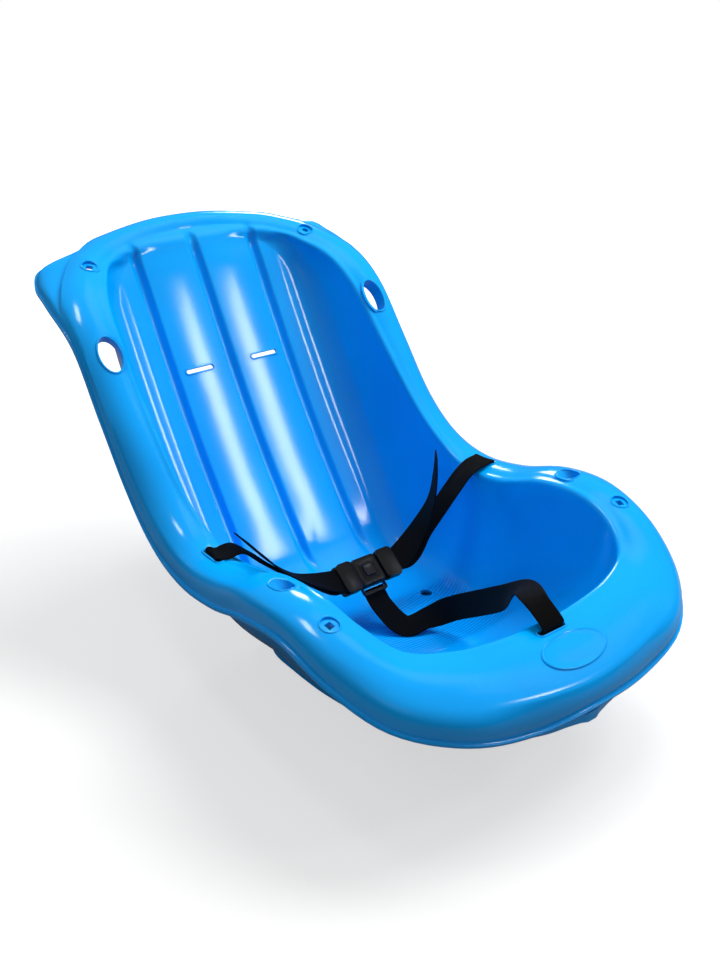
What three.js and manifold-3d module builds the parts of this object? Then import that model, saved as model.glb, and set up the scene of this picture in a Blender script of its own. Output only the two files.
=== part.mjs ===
// Baby pull sled: a one-piece moulded seat shell with a rolled rim, a runner base under the seat,
// and a three-point webbing harness with a push-button buckle. Millimetres, +Z up, -Y is the front.
import * as THREE from 'three';
import { mergeVertices } from 'three/addons/utils/BufferGeometryUtils.js';
import Module from 'manifold-3d';

const wasm = await Module();
wasm.setup();

// Overall size, taken at the top outer edge of the rim and down to the ground
const rimLength = 637;
const rimHalfWidth = 192;
const rimHeight = 375;

// Seat shell
const shellWall = 3;
const rimEdgeRadius = 7;
const rimCrown = 4.5;
const beadReach = 3;
const beadDrop = 1.5;
const grooveWidth = 12;
const grooveDepth = 4;
const grooveSpacing = 72;
const grooveBackCover = 3;
const grooveRunOut = 11;

// Openings in the shell
const handHoldLength = 37;
const handHoldWidth = 23;
const handHoldCollar = 3;
const handHoldCollarDepth = 9;
const ropeHoleDiameter = 18;
const ropeTubeWall = 3;
const ropeTubeLength = 14;
const ropeHoleSlant = THREE.MathUtils.degToRad(42);
const beltSlotLength = 30;
const beltSlotWidth = 6;
const crotchSlotLength = 30;
const backSlotLength = 33;
const backSlotWidth = 5;
const backSlotOffset = 40.5;
const capDiameter = 16;
const capRecess = 2;
const capBossWall = 2.5;
const capBossDepth = 4;
const capSquare = 6.4;
const capSquareCorner = 0.6;
const drainDiameter = 13;

// Runner base
const baseWall = 3;
const runnerWidth = 26;
const runnerRidge = 7;
const runnerTaper = 3;
const edgeRounding = 3;

// Harness
const webbingWidth = 25;
const webbingThickness = 1.4;
const anchorBarDiameter = 5;
const anchorBarLength = 36;
const anchorBarDrop = 0.35;
const crotchBarDrop = 0.7;
const housingHeight = 30;
const housingCorner = 4;
const coverDepth = 6.4;
const backDepth = 4.4;
const channelHeight = 23;
const channelDepth = 2.2;
const buttonSize = 12;
const buttonCorner = 2.5;
const buttonClearance = 0.3;
const buttonProud = 1;
const buttonTravel = 2.5;
const buttonFlange = 1;
const buttonFlangeDepth = 1.1;
const springDiameter = 5.4;
const springWire = 0.6;
const springBore = 7;
const springBoreDepth = 4;
const springTurns = 5;
const tongueLength = 22;
const tongueSideWall = 2.6;
const tongueDepth = 5.2;
const tongueBar = 4;
const tongueSlot = 3.8;
const prongWidth = 3;
const prongDepth = 3.2;
const prongLength = 12.5;
const prongTip = 1.2;
const loopDepth = 4;
const loopSideWall = 1.6;
const loopSlot = 4.2;
const loopBar = 3.6;

// Fits
const gap = 0.3;
const webbingClearance = 0.4;

// What holds the webbing follows its width
const strapOpening = webbingWidth + 2 * webbingClearance;
const housingWidth = strapOpening + 2 * loopSideWall;
const tongueHeight = strapOpening + 2 * tongueSideWall;

// Cutting
const cutOverrun = 20;
const smallestEdge = 0.05;

// How finely round forms are divided
const samplesPerStation = 2;
const wallSteps = 7;
const edgeSteps = 2;
const flangeSteps = 3;
const lipSteps = 5;
const fillColumns = 6;
const arcSteps = 2;
const ribbonSteps = 30;

// One row per station, from the front centre round the right side to the centre of the backrest's top.
// outer and inner are the rim's two top edges and lip its lower edge, flared at the rear into the ears,
// all as shares of half width, length and height. floor is the floor edge: its share of the half width,
// and how far along the floor line it lies. corner says how square the wall meets the floor.
const stationShares = [
  {
    outer: [0, 0, 0.325],
    inner: [0, 0.107, 0.387],
    lip: [0, -0.005, 0.271],
    floor: [0, 0],
    corner: 0.3,
  },
  {
    outer: [0.323, 0.009, 0.333],
    inner: [0.234, 0.11, 0.389],
    lip: [0.338, 0.005, 0.265],
    floor: [0.16, 0.004],
    corner: 0.32,
  },
  {
    outer: [0.599, 0.036, 0.352],
    inner: [0.458, 0.118, 0.395],
    lip: [0.64, 0.026, 0.29],
    floor: [0.3, 0.017],
    corner: 0.38,
  },
  {
    outer: [0.807, 0.086, 0.381],
    inner: [0.646, 0.141, 0.408],
    lip: [0.87, 0.083, 0.322],
    floor: [0.4, 0.042],
    corner: 0.48,
  },
  {
    outer: [0.938, 0.157, 0.43],
    inner: [0.74, 0.188, 0.446],
    lip: [0.986, 0.162, 0.378],
    floor: [0.455, 0.075],
    corner: 0.58,
  },
  {
    outer: [0.99, 0.243, 0.465],
    inner: [0.766, 0.251, 0.47],
    lip: [1.018, 0.244, 0.421],
    floor: [0.475, 0.113],
    corner: 0.62,
  },
  {
    outer: [1, 0.33, 0.455],
    inner: [0.76, 0.33, 0.455],
    lip: [1.029, 0.325, 0.409],
    floor: [0.485, 0.146],
    corner: 0.64,
  },
  {
    outer: [0.979, 0.416, 0.41],
    inner: [0.74, 0.408, 0.41],
    lip: [1.009, 0.41, 0.362],
    floor: [0.487, 0.183],
    corner: 0.64,
  },
  {
    outer: [0.969, 0.502, 0.389],
    inner: [0.755, 0.487, 0.395],
    lip: [0.992, 0.503, 0.342],
    floor: [0.495, 0.25],
    corner: 0.64,
  },
  {
    outer: [0.964, 0.581, 0.419],
    inner: [0.766, 0.553, 0.435],
    lip: [0.973, 0.594, 0.372],
    floor: [0.515, 0.375],
    corner: 0.62,
  },
  {
    outer: [0.958, 0.651, 0.507],
    inner: [0.766, 0.62, 0.512],
    lip: [0.966, 0.668, 0.478],
    floor: [0.535, 0.533],
    corner: 0.6,
  },
  {
    outer: [0.958, 0.722, 0.653],
    inner: [0.76, 0.703, 0.651],
    lip: [0.966, 0.735, 0.635],
    floor: [0.542, 0.683],
    corner: 0.58,
  },
  {
    outer: [0.953, 0.794, 0.803],
    inner: [0.74, 0.779, 0.795],
    lip: [0.964, 0.802, 0.788],
    floor: [0.542, 0.817],
    corner: 0.56,
  },
  {
    outer: [0.917, 0.863, 0.885],
    inner: [0.698, 0.838, 0.877],
    lip: [0.961, 0.89, 0.864],
    floor: [0.531, 0.9],
    corner: 0.55,
  },
  {
    outer: [0.771, 0.929, 0.939],
    inner: [0.599, 0.895, 0.92],
    lip: [0.938, 0.94, 0.893],
    floor: [0.458, 0.958],
    corner: 0.5,
  },
  {
    outer: [0.655, 0.959, 0.96],
    inner: [0.513, 0.92, 0.935],
    lip: [0.86, 0.962, 0.922],
    floor: [0.395, 0.98],
    corner: 0.5,
  },
  {
    outer: [0.521, 0.981, 0.976],
    inner: [0.417, 0.937, 0.947],
    lip: [0.6, 0.972, 0.928],
    floor: [0.323, 0.992],
    corner: 0.5,
  },
  {
    outer: [0.234, 0.997, 0.995],
    inner: [0.198, 0.954, 0.957],
    lip: [0.271, 1.004, 0.944],
    floor: [0.167, 0.998],
    corner: 0.5,
  },
  {
    outer: [0, 1, 1],
    inner: [0, 0.958, 0.96],
    lip: [0, 1.009, 0.947],
    floor: [0, 1],
    corner: 0.5,
  },
];

// The floor line on the centre plane: seat floor, then up the backrest, as shares of length and height
const floorLineShares = [
  [0.275, 0.104],
  [0.361, 0.085],
  [0.455, 0.085],
  [0.542, 0.085],
  [0.609, 0.117],
  [0.658, 0.197],
  [0.705, 0.299],
  [0.752, 0.403],
  [0.791, 0.501],
  [0.83, 0.613],
  [0.874, 0.736],
  [0.912, 0.853],
  [0.942, 0.933],
];

// Places on the rim, as a station number and a share of the way from the inner to the outer edge
const handHoldShare = { station: 11.8, across: 0.35 };
const ropeHoleShare = { station: 5.64, across: 0.37 };
const frontCapShare = { station: 4.4, across: 0.48 };
const rearCapShare = { station: 13.92, across: 0.37 };
const beltSlotShare = { station: 7.8, across: 0.42 };
const crotchSlotShare = { station: 0, across: 0.16 };

// Places along the floor line
const grooveStartShare = 0.36;
const backSlotShare = 0.757;
const drainShare = { wide: 0.38, line: 0.162 };

// Runner base, one row per section from its prow back to its end: half width, place along the length,
// heights of the underside and the top, all as shares, and how far the runners stand out there
const hullShares = [
  { wide: 0.03, along: 0.0016, up: 0.212, top: 0.235, ridge: 0 },
  { wide: 0.064, along: 0.0047, up: 0.213, top: 0.238, ridge: 0 },
  { wide: 0.135, along: 0.0105, up: 0.212, top: 0.245, ridge: 0 },
  { wide: 0.237, along: 0.022, up: 0.204, top: 0.27, ridge: 0 },
  { wide: 0.344, along: 0.06, up: 0.172, top: 0.42, ridge: 0.1 },
  { wide: 0.417, along: 0.125, up: 0.125, top: 0.42, ridge: 0.5 },
  { wide: 0.469, along: 0.204, up: 0.075, top: 0.42, ridge: 1 },
  { wide: 0.479, along: 0.298, up: 0.032, top: 0.42, ridge: 1 },
  { wide: 0.479, along: 0.377, up: 0.007, top: 0.42, ridge: 1 },
  { wide: 0.479, along: 0.44, up: 0, top: 0.42, ridge: 1 },
  { wide: 0.479, along: 0.494, up: 0, top: 0.42, ridge: 1 },
  { wide: 0.479, along: 0.516, up: 0.012, top: 0.42, ridge: 0.8 },
  { wide: 0.479, along: 0.526, up: 0.05, top: 0.42, ridge: 0.5 },
];
const tailShares = [
  { wide: 0.417, along: 0.44, up: 0, top: 0.42, ridge: 1 },
  { wide: 0.417, along: 0.552, up: 0, top: 0.42, ridge: 1 },
  { wide: 0.417, along: 0.572, up: 0.012, top: 0.42, ridge: 0.8 },
  { wide: 0.417, along: 0.581, up: 0.045, top: 0.42, ridge: 0.5 },
];

// Harness places as shares of half width, length and height
const buckleShare = [0, 0.463, 0.213];
const buckleTilt = THREE.MathUtils.degToRad(37.6);
// Strap routes: each row has a point and the direction in which the webbing's width lies there
const waistRouteShares = {
  left: [
    { at: [-0.826, 0.474, 0.41], wide: [0, 1, 0] },
    { at: [-0.751, 0.471, 0.412], wide: [0, 1, 0] },
    { at: [-0.667, 0.465, 0.377], wide: [0, 1, 0.1] },
    { at: [-0.557, 0.457, 0.326], wide: [0, 1, 0] },
    { at: [-0.443, 0.45, 0.282], wide: [0, 1, 0.2] },
  ],
  right: [
    { at: [0.843, 0.477, 0.412], wide: [0, 1, 0] },
    { at: [0.772, 0.476, 0.408], wide: [0, 1, 0] },
    { at: [0.695, 0.474, 0.393], wide: [0, 1, -0.1] },
    { at: [0.599, 0.471, 0.357], wide: [0, 1, -0.1] },
    { at: [0.497, 0.471, 0.306], wide: [0, 1, -0.1] },
    { at: [0.385, 0.469, 0.257], wide: [0, 1, 0] },
  ],
};
const tailRouteShares = {
  left: [
    { at: [-0.43, 0.453, 0.293], wide: [0, 1, 0.15] },
    { at: [-0.552, 0.458, 0.337], wide: [0, 1, 0] },
    { at: [-0.645, 0.463, 0.386], wide: [0, 1, 0] },
    { at: [-0.735, 0.467, 0.442], wide: [0.1, 1, -0.1] },
  ],
  right: [
    { at: [0.345, 0.466, 0.275], wide: [0.1, 1, 0.1] },
    { at: [0.446, 0.468, 0.345], wide: [0.45, 0.9, 0] },
    { at: [0.476, 0.469, 0.419], wide: [0.55, 0.84, 0] },
    { at: [0.484, 0.471, 0.483], wide: [0.62, 0.78, 0] },
  ],
};
const crotchRouteShares = [
  { at: [0, 0.097, 0.408], wide: [1, 0, 0] },
  { at: [0.01, 0.118, 0.42], wide: [1, 0, 0] },
  { at: [0.1, 0.16, 0.392], wide: [1, 0.3, -0.1] },
  { at: [0.19, 0.223, 0.297], wide: [0.5, 0.4, 0.9] },
  { at: [0.244, 0.292, 0.211], wide: [0.2, 0.5, 1] },
  { at: [0.24, 0.345, 0.15], wide: [0.1, 0.6, 1] },
  { at: [0.167, 0.372, 0.115], wide: [0.3, 1, 0.35] },
  { at: [0.055, 0.386, 0.1], wide: [1, 0.5, 0.4] },
];

const shellBlue = new THREE.MeshStandardMaterial({ color: 0x0a8fe6, roughness: 0.25, metalness: 0 });
const baseBlue = new THREE.MeshStandardMaterial({ color: 0x0a6fc0, roughness: 0.35, metalness: 0 });
const webbingBlack = new THREE.MeshStandardMaterial({ color: 0x121214, roughness: 0.9, metalness: 0 });
const buckleBlack = new THREE.MeshStandardMaterial({ color: 0x1a1a1c, roughness: 0.45, metalness: 0 });
const springSteel = new THREE.MeshStandardMaterial({ color: 0x9a9da2, roughness: 0.3, metalness: 1 });

const acrossX = new THREE.Vector3(1, 0, 0);
const half = 0.5;

const sled = new THREE.Group();
const buckle = new THREE.Group();

// A point from shares of the sled's three overall sizes
function place(shares) {
  return new THREE.Vector3(shares[0] * rimHalfWidth, shares[1] * rimLength, shares[2] * rimHeight);
}

function toSolid(geometry) {
  const bare = geometry.clone();
  bare.deleteAttribute('normal');
  bare.deleteAttribute('uv');
  const merged = mergeVertices(bare);
  const mesh = new wasm.Mesh({
    numProp: 3,
    vertProperties: new Float32Array(merged.attributes.position.array),
    triVerts: new Uint32Array(merged.index.array),
  });
  return new wasm.Manifold(mesh);
}

function toGeometry(solid) {
  const mesh = solid.getMesh();
  const geometry = new THREE.BufferGeometry();
  geometry.setAttribute('position', new THREE.BufferAttribute(mesh.vertProperties, mesh.numProp));
  geometry.setIndex(new THREE.BufferAttribute(mesh.triVerts, 1));
  geometry.computeVertexNormals();
  return geometry;
}

// Makes an indexed geometry whose faces point outward, whichever way its rings were wound
function closedGeometry(points, triangles) {
  let volume = 0;
  const normal = new THREE.Vector3();
  for (let i = 0; i < triangles.length; i += 3) {
    const a = points[triangles[i]];
    const b = points[triangles[i + 1]];
    const c = points[triangles[i + 2]];
    volume += normal.crossVectors(b, c).dot(a);
  }
  const order = volume < 0 ? [...triangles].reverse() : triangles;
  const geometry = new THREE.BufferGeometry().setFromPoints(points);
  geometry.setIndex(order);
  return geometry;
}

function indexedSolid(points, triangles) {
  return toSolid(closedGeometry(points, triangles));
}

// Joins rings of points, all wound alike, into one solid closed by a flat cap at each end
function loftSolid(rings, isSheet = false) {
  const count = rings[0].length;
  const points = rings.flat();
  const triangles = [];
  for (let r = 0; r + 1 < rings.length; r += 1) {
    for (let k = 0; k < count; k += 1) {
      const a = r * count + k;
      const b = r * count + ((k + 1) % count);
      // a twisted sheet's second half is split the mirrored way, so its two sides stay parallel
      if (isSheet && k >= count * half) {
        triangles.push(a, b, a + count, b, b + count, a + count);
      } else {
        triangles.push(a, b, b + count, a, b + count, a + count);
      }
    }
  }
  const last = (rings.length - 1) * count;
  for (let k = 1; k + 1 < count; k += 1) {
    triangles.push(0, k + 1, k);
    triangles.push(last, last + k, last + k + 1);
  }
  return indexedSolid(points, triangles);
}

function roundedOutline(width, height, radius) {
  const shape = new THREE.Shape();
  const x = width * half - radius;
  const y = height * half - radius;
  shape.absarc(x, y, radius, 0, Math.PI * half);
  shape.absarc(-x, y, radius, Math.PI * half, Math.PI);
  shape.absarc(-x, -y, radius, Math.PI, Math.PI * (1 + half));
  shape.absarc(x, -y, radius, Math.PI * (1 + half), Math.PI * 2);
  return shape;
}

// A straight block of an outline, from one height to another
function prism(shape, from, to) {
  const geometry = new THREE.ExtrudeGeometry(shape, {
    depth: to - from,
    bevelEnabled: false,
    curveSegments: arcSteps,
  });
  return toSolid(geometry.translate(0, 0, from));
}

function box(width, depth, height, centre) {
  return toSolid(new THREE.BoxGeometry(width, depth, height).translate(centre.x, centre.y, centre.z));
}

function roundBar(diameter, length, matrix) {
  const geometry = new THREE.CylinderGeometry(diameter * half, diameter * half, length, arcSteps * 6);
  return toSolid(geometry.applyMatrix4(matrix));
}

// Moves a solid made at the origin into a frame given by its three axes and its origin
function inFrame(solid, frame) {
  const basis = new THREE.Matrix4().makeBasis(frame.across, frame.along, frame.up);
  basis.setPosition(frame.point);
  return toSolid(toGeometry(solid).applyMatrix4(basis));
}

function mirrored(solid) {
  const geometry = toGeometry(solid);
  const points = [];
  const position = geometry.attributes.position;
  for (let i = 0; i < position.count; i += 1) {
    points.push(new THREE.Vector3(-position.getX(i), position.getY(i), position.getZ(i)));
  }
  return indexedSolid(points, Array.from(geometry.index.array));
}

// Joins points that lie closer together than the smallest edge, so that no sliver is left
function weld(solid) {
  const simple = toGeometry(solid.simplify(smallestEdge));
  simple.deleteAttribute('normal');
  const merged = mergeVertices(simple, smallestEdge);
  const kept = [];
  const corners = merged.index.array;
  for (let i = 0; i < corners.length; i += 3) {
    const [a, b, c] = corners.slice(i, i + 3);
    if (a !== b && b !== c && c !== a) {
      kept.push(a, b, c);
    }
  }
  merged.setIndex(kept);
  return toSolid(merged).simplify(smallestEdge);
}

function addPart(parent, name, solid, material) {
  const mesh = new THREE.Mesh(toGeometry(weld(solid)), material);
  mesh.name = name;
  parent.add(mesh);
  return mesh;
}

// The rim's closed curves: the right side's stations, then the same ones mirrored to the left
function loopCurve(pick) {
  const right = stationShares.map(pick);
  const left = right.slice(1, -1).reverse().map((p) => new THREE.Vector3(-p.x, p.y, p.z));
  return new THREE.CatmullRomCurve3([...right, ...left], true, 'catmullrom', half);
}

const outerEdge = loopCurve((row) => place(row.outer));
const innerEdge = loopCurve((row) => place(row.inner));
const lipEdge = loopCurve((row) => place(row.lip));
const floorEdge = loopCurve((row) => {
  const [wideShare, lineShare] = row.floor;
  return new THREE.Vector3(wideShare * rimHalfWidth, lineShare, row.corner);
});
const floorLine = new THREE.CatmullRomCurve3(
  floorLineShares.map(([along, up]) => place([0, along, up])),
  false,
  'catmullrom',
  half,
);
const loopStations = outerEdge.points.length;
const loopSamples = loopStations * samplesPerStation;

// Where the rim is at a station number: the flange's two ends, and its across, along and up directions
function rimAt(station) {
  const t = (station / loopStations + 1) % 1;
  const outer = outerEdge.getPoint(t);
  const inner = innerEdge.getPoint(t);
  const along = outerEdge.getTangent(t);
  const across = outer.clone().sub(inner);
  across.addScaledVector(along, -across.dot(along)).normalize();
  const up = new THREE.Vector3().crossVectors(across, along).normalize();
  const floorPlace = floorEdge.getPoint(t);
  const lineShare = THREE.MathUtils.clamp(floorPlace.y, 0, 1);
  const floor = floorLine.getPoint(lineShare);
  floor.x = floorPlace.x;
  const floorUp = new THREE.Vector3().crossVectors(acrossX, floorLine.getTangent(lineShare)).normalize();
  const toRim = inner.clone().sub(floor);
  const foot = floor.clone().add(toRim).addScaledVector(floorUp, -toRim.dot(floorUp));
  return { outer, inner, lip: lipEdge.getPoint(t), along, across, up, floor, foot, corner: floorPlace.z };
}

// One section of the skin, from the floor edge up the wall, over the flange and down the lip
function rimSection(station) {
  const draftShare = 0.12;
  const fullStanding = 2.5;
  const edgeShareOfWall = 0.6;
  const lipCornerShare = 0.85;
  const lipTurnShare = 0.2;
  const lipFallShare = 0.5;
  const rim = rimAt(station);
  // where the rim stands low over the floor line, the wall leans towards that line and its edge is tighter
  const standing = rim.foot.distanceTo(rim.inner) / (rimEdgeRadius * fullStanding);
  const foot = rim.foot.clone().lerp(rim.floor, Math.max(draftShare, 1 - standing));
  const wallDown = foot.clone().sub(rim.inner).normalize();
  const wallTop = rim.inner.clone();
  wallTop.addScaledVector(wallDown, Math.min(rimEdgeRadius, foot.distanceTo(rim.inner) * edgeShareOfWall));
  const flangeStart = rim.inner.clone().addScaledVector(rim.across, rimEdgeRadius);
  const wall = new THREE.CubicBezierCurve3(
    rim.floor,
    rim.floor.clone().lerp(foot, rim.corner),
    wallTop.clone().lerp(foot, rim.corner),
    wallTop,
  );
  const edge = new THREE.QuadraticBezierCurve3(wallTop, rim.inner, flangeStart);
  const crownTop = flangeStart.clone().lerp(rim.outer, half).addScaledVector(rim.up, rimCrown * 2);
  const flange = new THREE.QuadraticBezierCurve3(flangeStart, crownTop, rim.outer);
  const fall = rim.lip.clone().sub(rim.outer);
  const lipStart = fall.clone().multiplyScalar(lipCornerShare);
  lipStart.z = fall.z * lipTurnShare;
  const lip = new THREE.CubicBezierCurve3(
    rim.outer,
    rim.outer.clone().add(lipStart),
    rim.lip.clone().addScaledVector(rim.up, -fall.dot(rim.up) * lipFallShare),
    rim.lip,
  );
  const bead = rim.lip.clone().addScaledVector(rim.across, beadReach).addScaledVector(rim.up, -beadDrop);
  const wallPoints = wall.getPoints(wallSteps);
  const edgePoints = edge.getPoints(edgeSteps).slice(1);
  const flangePoints = flange.getPoints(flangeSteps).slice(1, -1);
  const lipPoints = lip.getPoints(lipSteps);
  return [...wallPoints, ...edgePoints, ...flangePoints, ...lipPoints, bead];
}

// The visible skin as one open mesh: the ring of sections, filled by rows across the floor
function buildSkin() {
  const sections = [];
  for (let i = 0; i < loopSamples; i += 1) {
    sections.push(rimSection(i / samplesPerStation));
  }
  const rowLength = sections[0].length;
  const points = sections.flat();
  const triangles = [];
  const ringIndex = (i, j) => ((i + loopSamples) % loopSamples) * rowLength + j;
  for (let i = 0; i < loopSamples; i += 1) {
    for (let j = 0; j + 1 < rowLength; j += 1) {
      const a = ringIndex(i, j);
      const b = ringIndex(i + 1, j);
      triangles.push(a, a + 1, b + 1, a, b + 1, b);
    }
  }
  const lastRow = loopSamples * half;
  const rows = [];
  for (let k = 0; k <= lastRow; k += 1) {
    const left = ringIndex(-k, 0);
    const right = ringIndex(k, 0);
    const row = [left];
    for (let c = 1; k > 0 && k < lastRow && c < fillColumns; c += 1) {
      points.push(points[left].clone().lerp(points[right], c / fillColumns));
      row.push(points.length - 1);
    }
    if (k > 0 && k < lastRow) {
      row.push(right);
    }
    rows.push(row);
  }
  for (let k = 0; k < lastRow; k += 1) {
    for (let c = 0; c < fillColumns; c += 1) {
      const [a, b] = rows[k].length > 1 ? [rows[k][c], rows[k][c + 1]] : [rows[k][0], rows[k][0]];
      const [d, e] = rows[k + 1].length > 1
        ? [rows[k + 1][c], rows[k + 1][c + 1]]
        : [rows[k + 1][0], rows[k + 1][0]];
      if (a !== b) {
        triangles.push(a, b, e);
      }
      if (d !== e) {
        triangles.push(a, e, d);
      }
    }
  }
  const geometry = new THREE.BufferGeometry().setFromPoints(points);
  geometry.setIndex(triangles);
  geometry.computeVertexNormals();
  const normalList = geometry.attributes.normal;
  const normals = points.map((point, i) => new THREE.Vector3().fromBufferAttribute(normalList, i));
  if (normals[rows[lastRow * half][1]].z < 0) {
    normals.forEach((normal) => normal.negate());
  }
  return { points, normals, triangles, rowLength, ringIndex };
}

const skin = buildSkin();

// Closes a skin with a second one above or beneath it, joined all round their outer edges
function closeSkins(upper, lower) {
  const triangles = [...skin.triangles];
  const shift = upper.length;
  for (let i = 0; i < skin.triangles.length; i += 3) {
    const [a, b, c] = skin.triangles.slice(i, i + 3);
    triangles.push(shift + a, shift + c, shift + b);
  }
  for (let i = 0; i < loopSamples; i += 1) {
    const a = skin.ringIndex(i, skin.rowLength - 1);
    const b = skin.ringIndex(i + 1, skin.rowLength - 1);
    triangles.push(a, shift + a, shift + b, a, shift + b, b);
  }
  return indexedSolid([...upper, ...lower], triangles);
}

function offsetSkin(distance) {
  return skin.points.map((point, i) => point.clone().addScaledVector(skin.normals[i], -distance));
}

// Everything higher than a depth below the skin, used to trim what seats against the shell
function clearanceAbove(depth) {
  const ceiling = rimHeight * 2;
  const lower = offsetSkin(depth);
  const upper = lower.map((point) => new THREE.Vector3(point.x, point.y, ceiling));
  return closeSkins(upper, lower);
}

// A frame on the flange, with its point on the skin
function flangeFrame(share, side) {
  const rim = rimAt(share.station * side);
  const start = rim.inner.clone().addScaledVector(rim.across, rimEdgeRadius);
  const point = start.lerp(rim.outer, share.across);
  point.addScaledVector(rim.up, rimCrown * 4 * share.across * (1 - share.across));
  return { point, across: rim.across, along: rim.along, up: rim.up };
}

// The rope holes run down and forward, so their frames lean to the rear
function ropeFrame(side) {
  const flat = flangeFrame(ropeHoleShare, side);
  const rear = flat.along.y < 0 ? flat.along.clone().negate() : flat.along;
  const up = flat.up.clone().multiplyScalar(Math.cos(ropeHoleSlant));
  up.addScaledVector(rear, Math.sin(ropeHoleSlant));
  const across = flat.across;
  return { point: flat.point, across, along: new THREE.Vector3().crossVectors(up, across), up };
}

// A frame on the floor line, sideways by a distance
function floorFrame(lineShare, sideways) {
  const point = floorLine.getPoint(lineShare);
  point.x = sideways;
  const along = floorLine.getTangent(lineShare);
  return { point, across: acrossX, along, up: new THREE.Vector3().crossVectors(acrossX, along) };
}

// A bar that follows the floor line and runs straight on past its end, of a section given by its width
// and its two heights off the skin
function floorBar(sideways, width, from, to, start, steps) {
  const rings = [];
  const widthSign = [-1, 1, 1, -1];
  const heights = [from, from, to, to];
  const taperShare = 0.7;
  for (let i = 0; i <= steps; i += 1) {
    const frame = floorFrame(start + ((1 - start) * i) / steps, sideways);
    rings.push(heights.map((height, k) => {
      const taper = k < 2 ? taperShare : 1;
      const point = frame.point.clone().addScaledVector(acrossX, widthSign[k] * width * half * taper);
      return point.addScaledVector(frame.up, height);
    }));
  }
  const onward = floorFrame(1, sideways).along.multiplyScalar(grooveRunOut);
  rings.push(rings[steps].map((point) => point.clone().add(onward)));
  return loftSolid(rings);
}

const sides = [-1, 1];
const frontSlotFrame = flangeFrame(crotchSlotShare, 1);

function buildShell() {
  const grooveSteps = 10;
  const trim = clearanceAbove(shellWall * half);
  let shell = closeSkins(skin.points, offsetSkin(shellWall));
  for (const row of [-1, 0, 1]) {
    const sideways = row * grooveSpacing;
    const coverDepthHere = grooveDepth + grooveBackCover;
    const coverWidth = grooveWidth + 2 * grooveBackCover;
    const cover = floorBar(sideways, coverWidth, -coverDepthHere, 0, grooveStartShare, grooveSteps);
    shell = shell.add(cover.subtract(trim));
  }
  for (const row of [-1, 0, 1]) {
    const sideways = row * grooveSpacing;
    const start = grooveStartShare;
    const groove = floorBar(sideways, grooveWidth, -grooveDepth, cutOverrun, start, grooveSteps);
    shell = shell.subtract(groove);
  }
  for (const side of sides) {
    const hand = flangeFrame(handHoldShare, side);
    const handOutline = roundedOutline(handHoldWidth, handHoldLength, handHoldWidth * half);
    const collarWidth = handHoldWidth + 2 * handHoldCollar;
    const collarLength = handHoldLength + 2 * handHoldCollar;
    const collarOutline = roundedOutline(collarWidth, collarLength, collarWidth * half);
    shell = shell.add(inFrame(prism(collarOutline, -handHoldCollarDepth, -shellWall * half), hand));
    shell = shell.subtract(inFrame(prism(handOutline, -cutOverrun, cutOverrun), hand));

    const rope = ropeFrame(side);
    const tubeRadius = ropeHoleDiameter * half + ropeTubeWall;
    const tubeOutline = roundedOutline(tubeRadius * 2, tubeRadius * 2, tubeRadius);
    const holeOutline = roundedOutline(ropeHoleDiameter, ropeHoleDiameter, ropeHoleDiameter * half);
    const tube = inFrame(prism(tubeOutline, -ropeTubeLength, tubeRadius), rope);
    shell = shell.add(tube.subtract(trim));
    const bore = prism(holeOutline, -ropeTubeLength - cutOverrun, cutOverrun * 2);
    shell = shell.subtract(inFrame(bore, rope));

    for (const share of [frontCapShare, rearCapShare]) {
      const cap = flangeFrame(share, side);
      const bossWidth = capDiameter + 2 * capBossWall;
      const bossOutline = roundedOutline(bossWidth, bossWidth, bossWidth * half);
      const capOutline = roundedOutline(capDiameter, capDiameter, capDiameter * half);
      const squareOutline = roundedOutline(capSquare, capSquare, capSquareCorner);
      shell = shell.add(inFrame(prism(bossOutline, -capBossDepth - capRecess, -shellWall * half), cap));
      shell = shell.subtract(inFrame(prism(capOutline, -capRecess, cutOverrun), cap));
      shell = shell.subtract(inFrame(prism(squareOutline, -cutOverrun, cutOverrun), cap));
    }

    const beltOutline = roundedOutline(beltSlotWidth, beltSlotLength, beltSlotWidth * half);
    const belt = flangeFrame(beltSlotShare, side);
    shell = shell.subtract(inFrame(prism(beltOutline, -cutOverrun, cutOverrun), belt));

    const backOutline = roundedOutline(backSlotLength, backSlotWidth, backSlotWidth * half);
    const backFrame = floorFrame(backSlotShare, side * backSlotOffset);
    shell = shell.subtract(inFrame(prism(backOutline, -cutOverrun, cutOverrun), backFrame));

    const drainOutline = roundedOutline(drainDiameter, drainDiameter, drainDiameter * half);
    const drainFrame = floorFrame(drainShare.line, side * drainShare.wide * rimHalfWidth);
    shell = shell.subtract(inFrame(prism(drainOutline, -cutOverrun, cutOverrun), drainFrame));
  }
  const crotchOutline = roundedOutline(beltSlotWidth, crotchSlotLength, beltSlotWidth * half);
  return shell.subtract(inFrame(prism(crotchOutline, -cutOverrun, cutOverrun), frontSlotFrame));
}

// One cross-section of the runner base: side walls down to two runners with a raised middle between them
function hullSection(row, along) {
  const wide = row.wide * rimHalfWidth;
  const low = row.up * rimHeight;
  const ridge = row.ridge * runnerRidge;
  const rounding = Math.min(edgeRounding, wide * half * half);
  const inner = Math.max(wide - runnerWidth, wide * half);
  const taper = Math.min(runnerTaper, inner * half);
  const right = [
    [inner - taper, low + ridge],
    [inner, low],
    [wide - rounding, low],
    [wide, low + rounding],
    [wide, row.top * rimHeight],
  ];
  const left = right.map(([x, z]) => [-x, z]).reverse();
  return [...right, ...left].map(([x, z]) => new THREE.Vector3(x, along, z));
}

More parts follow.
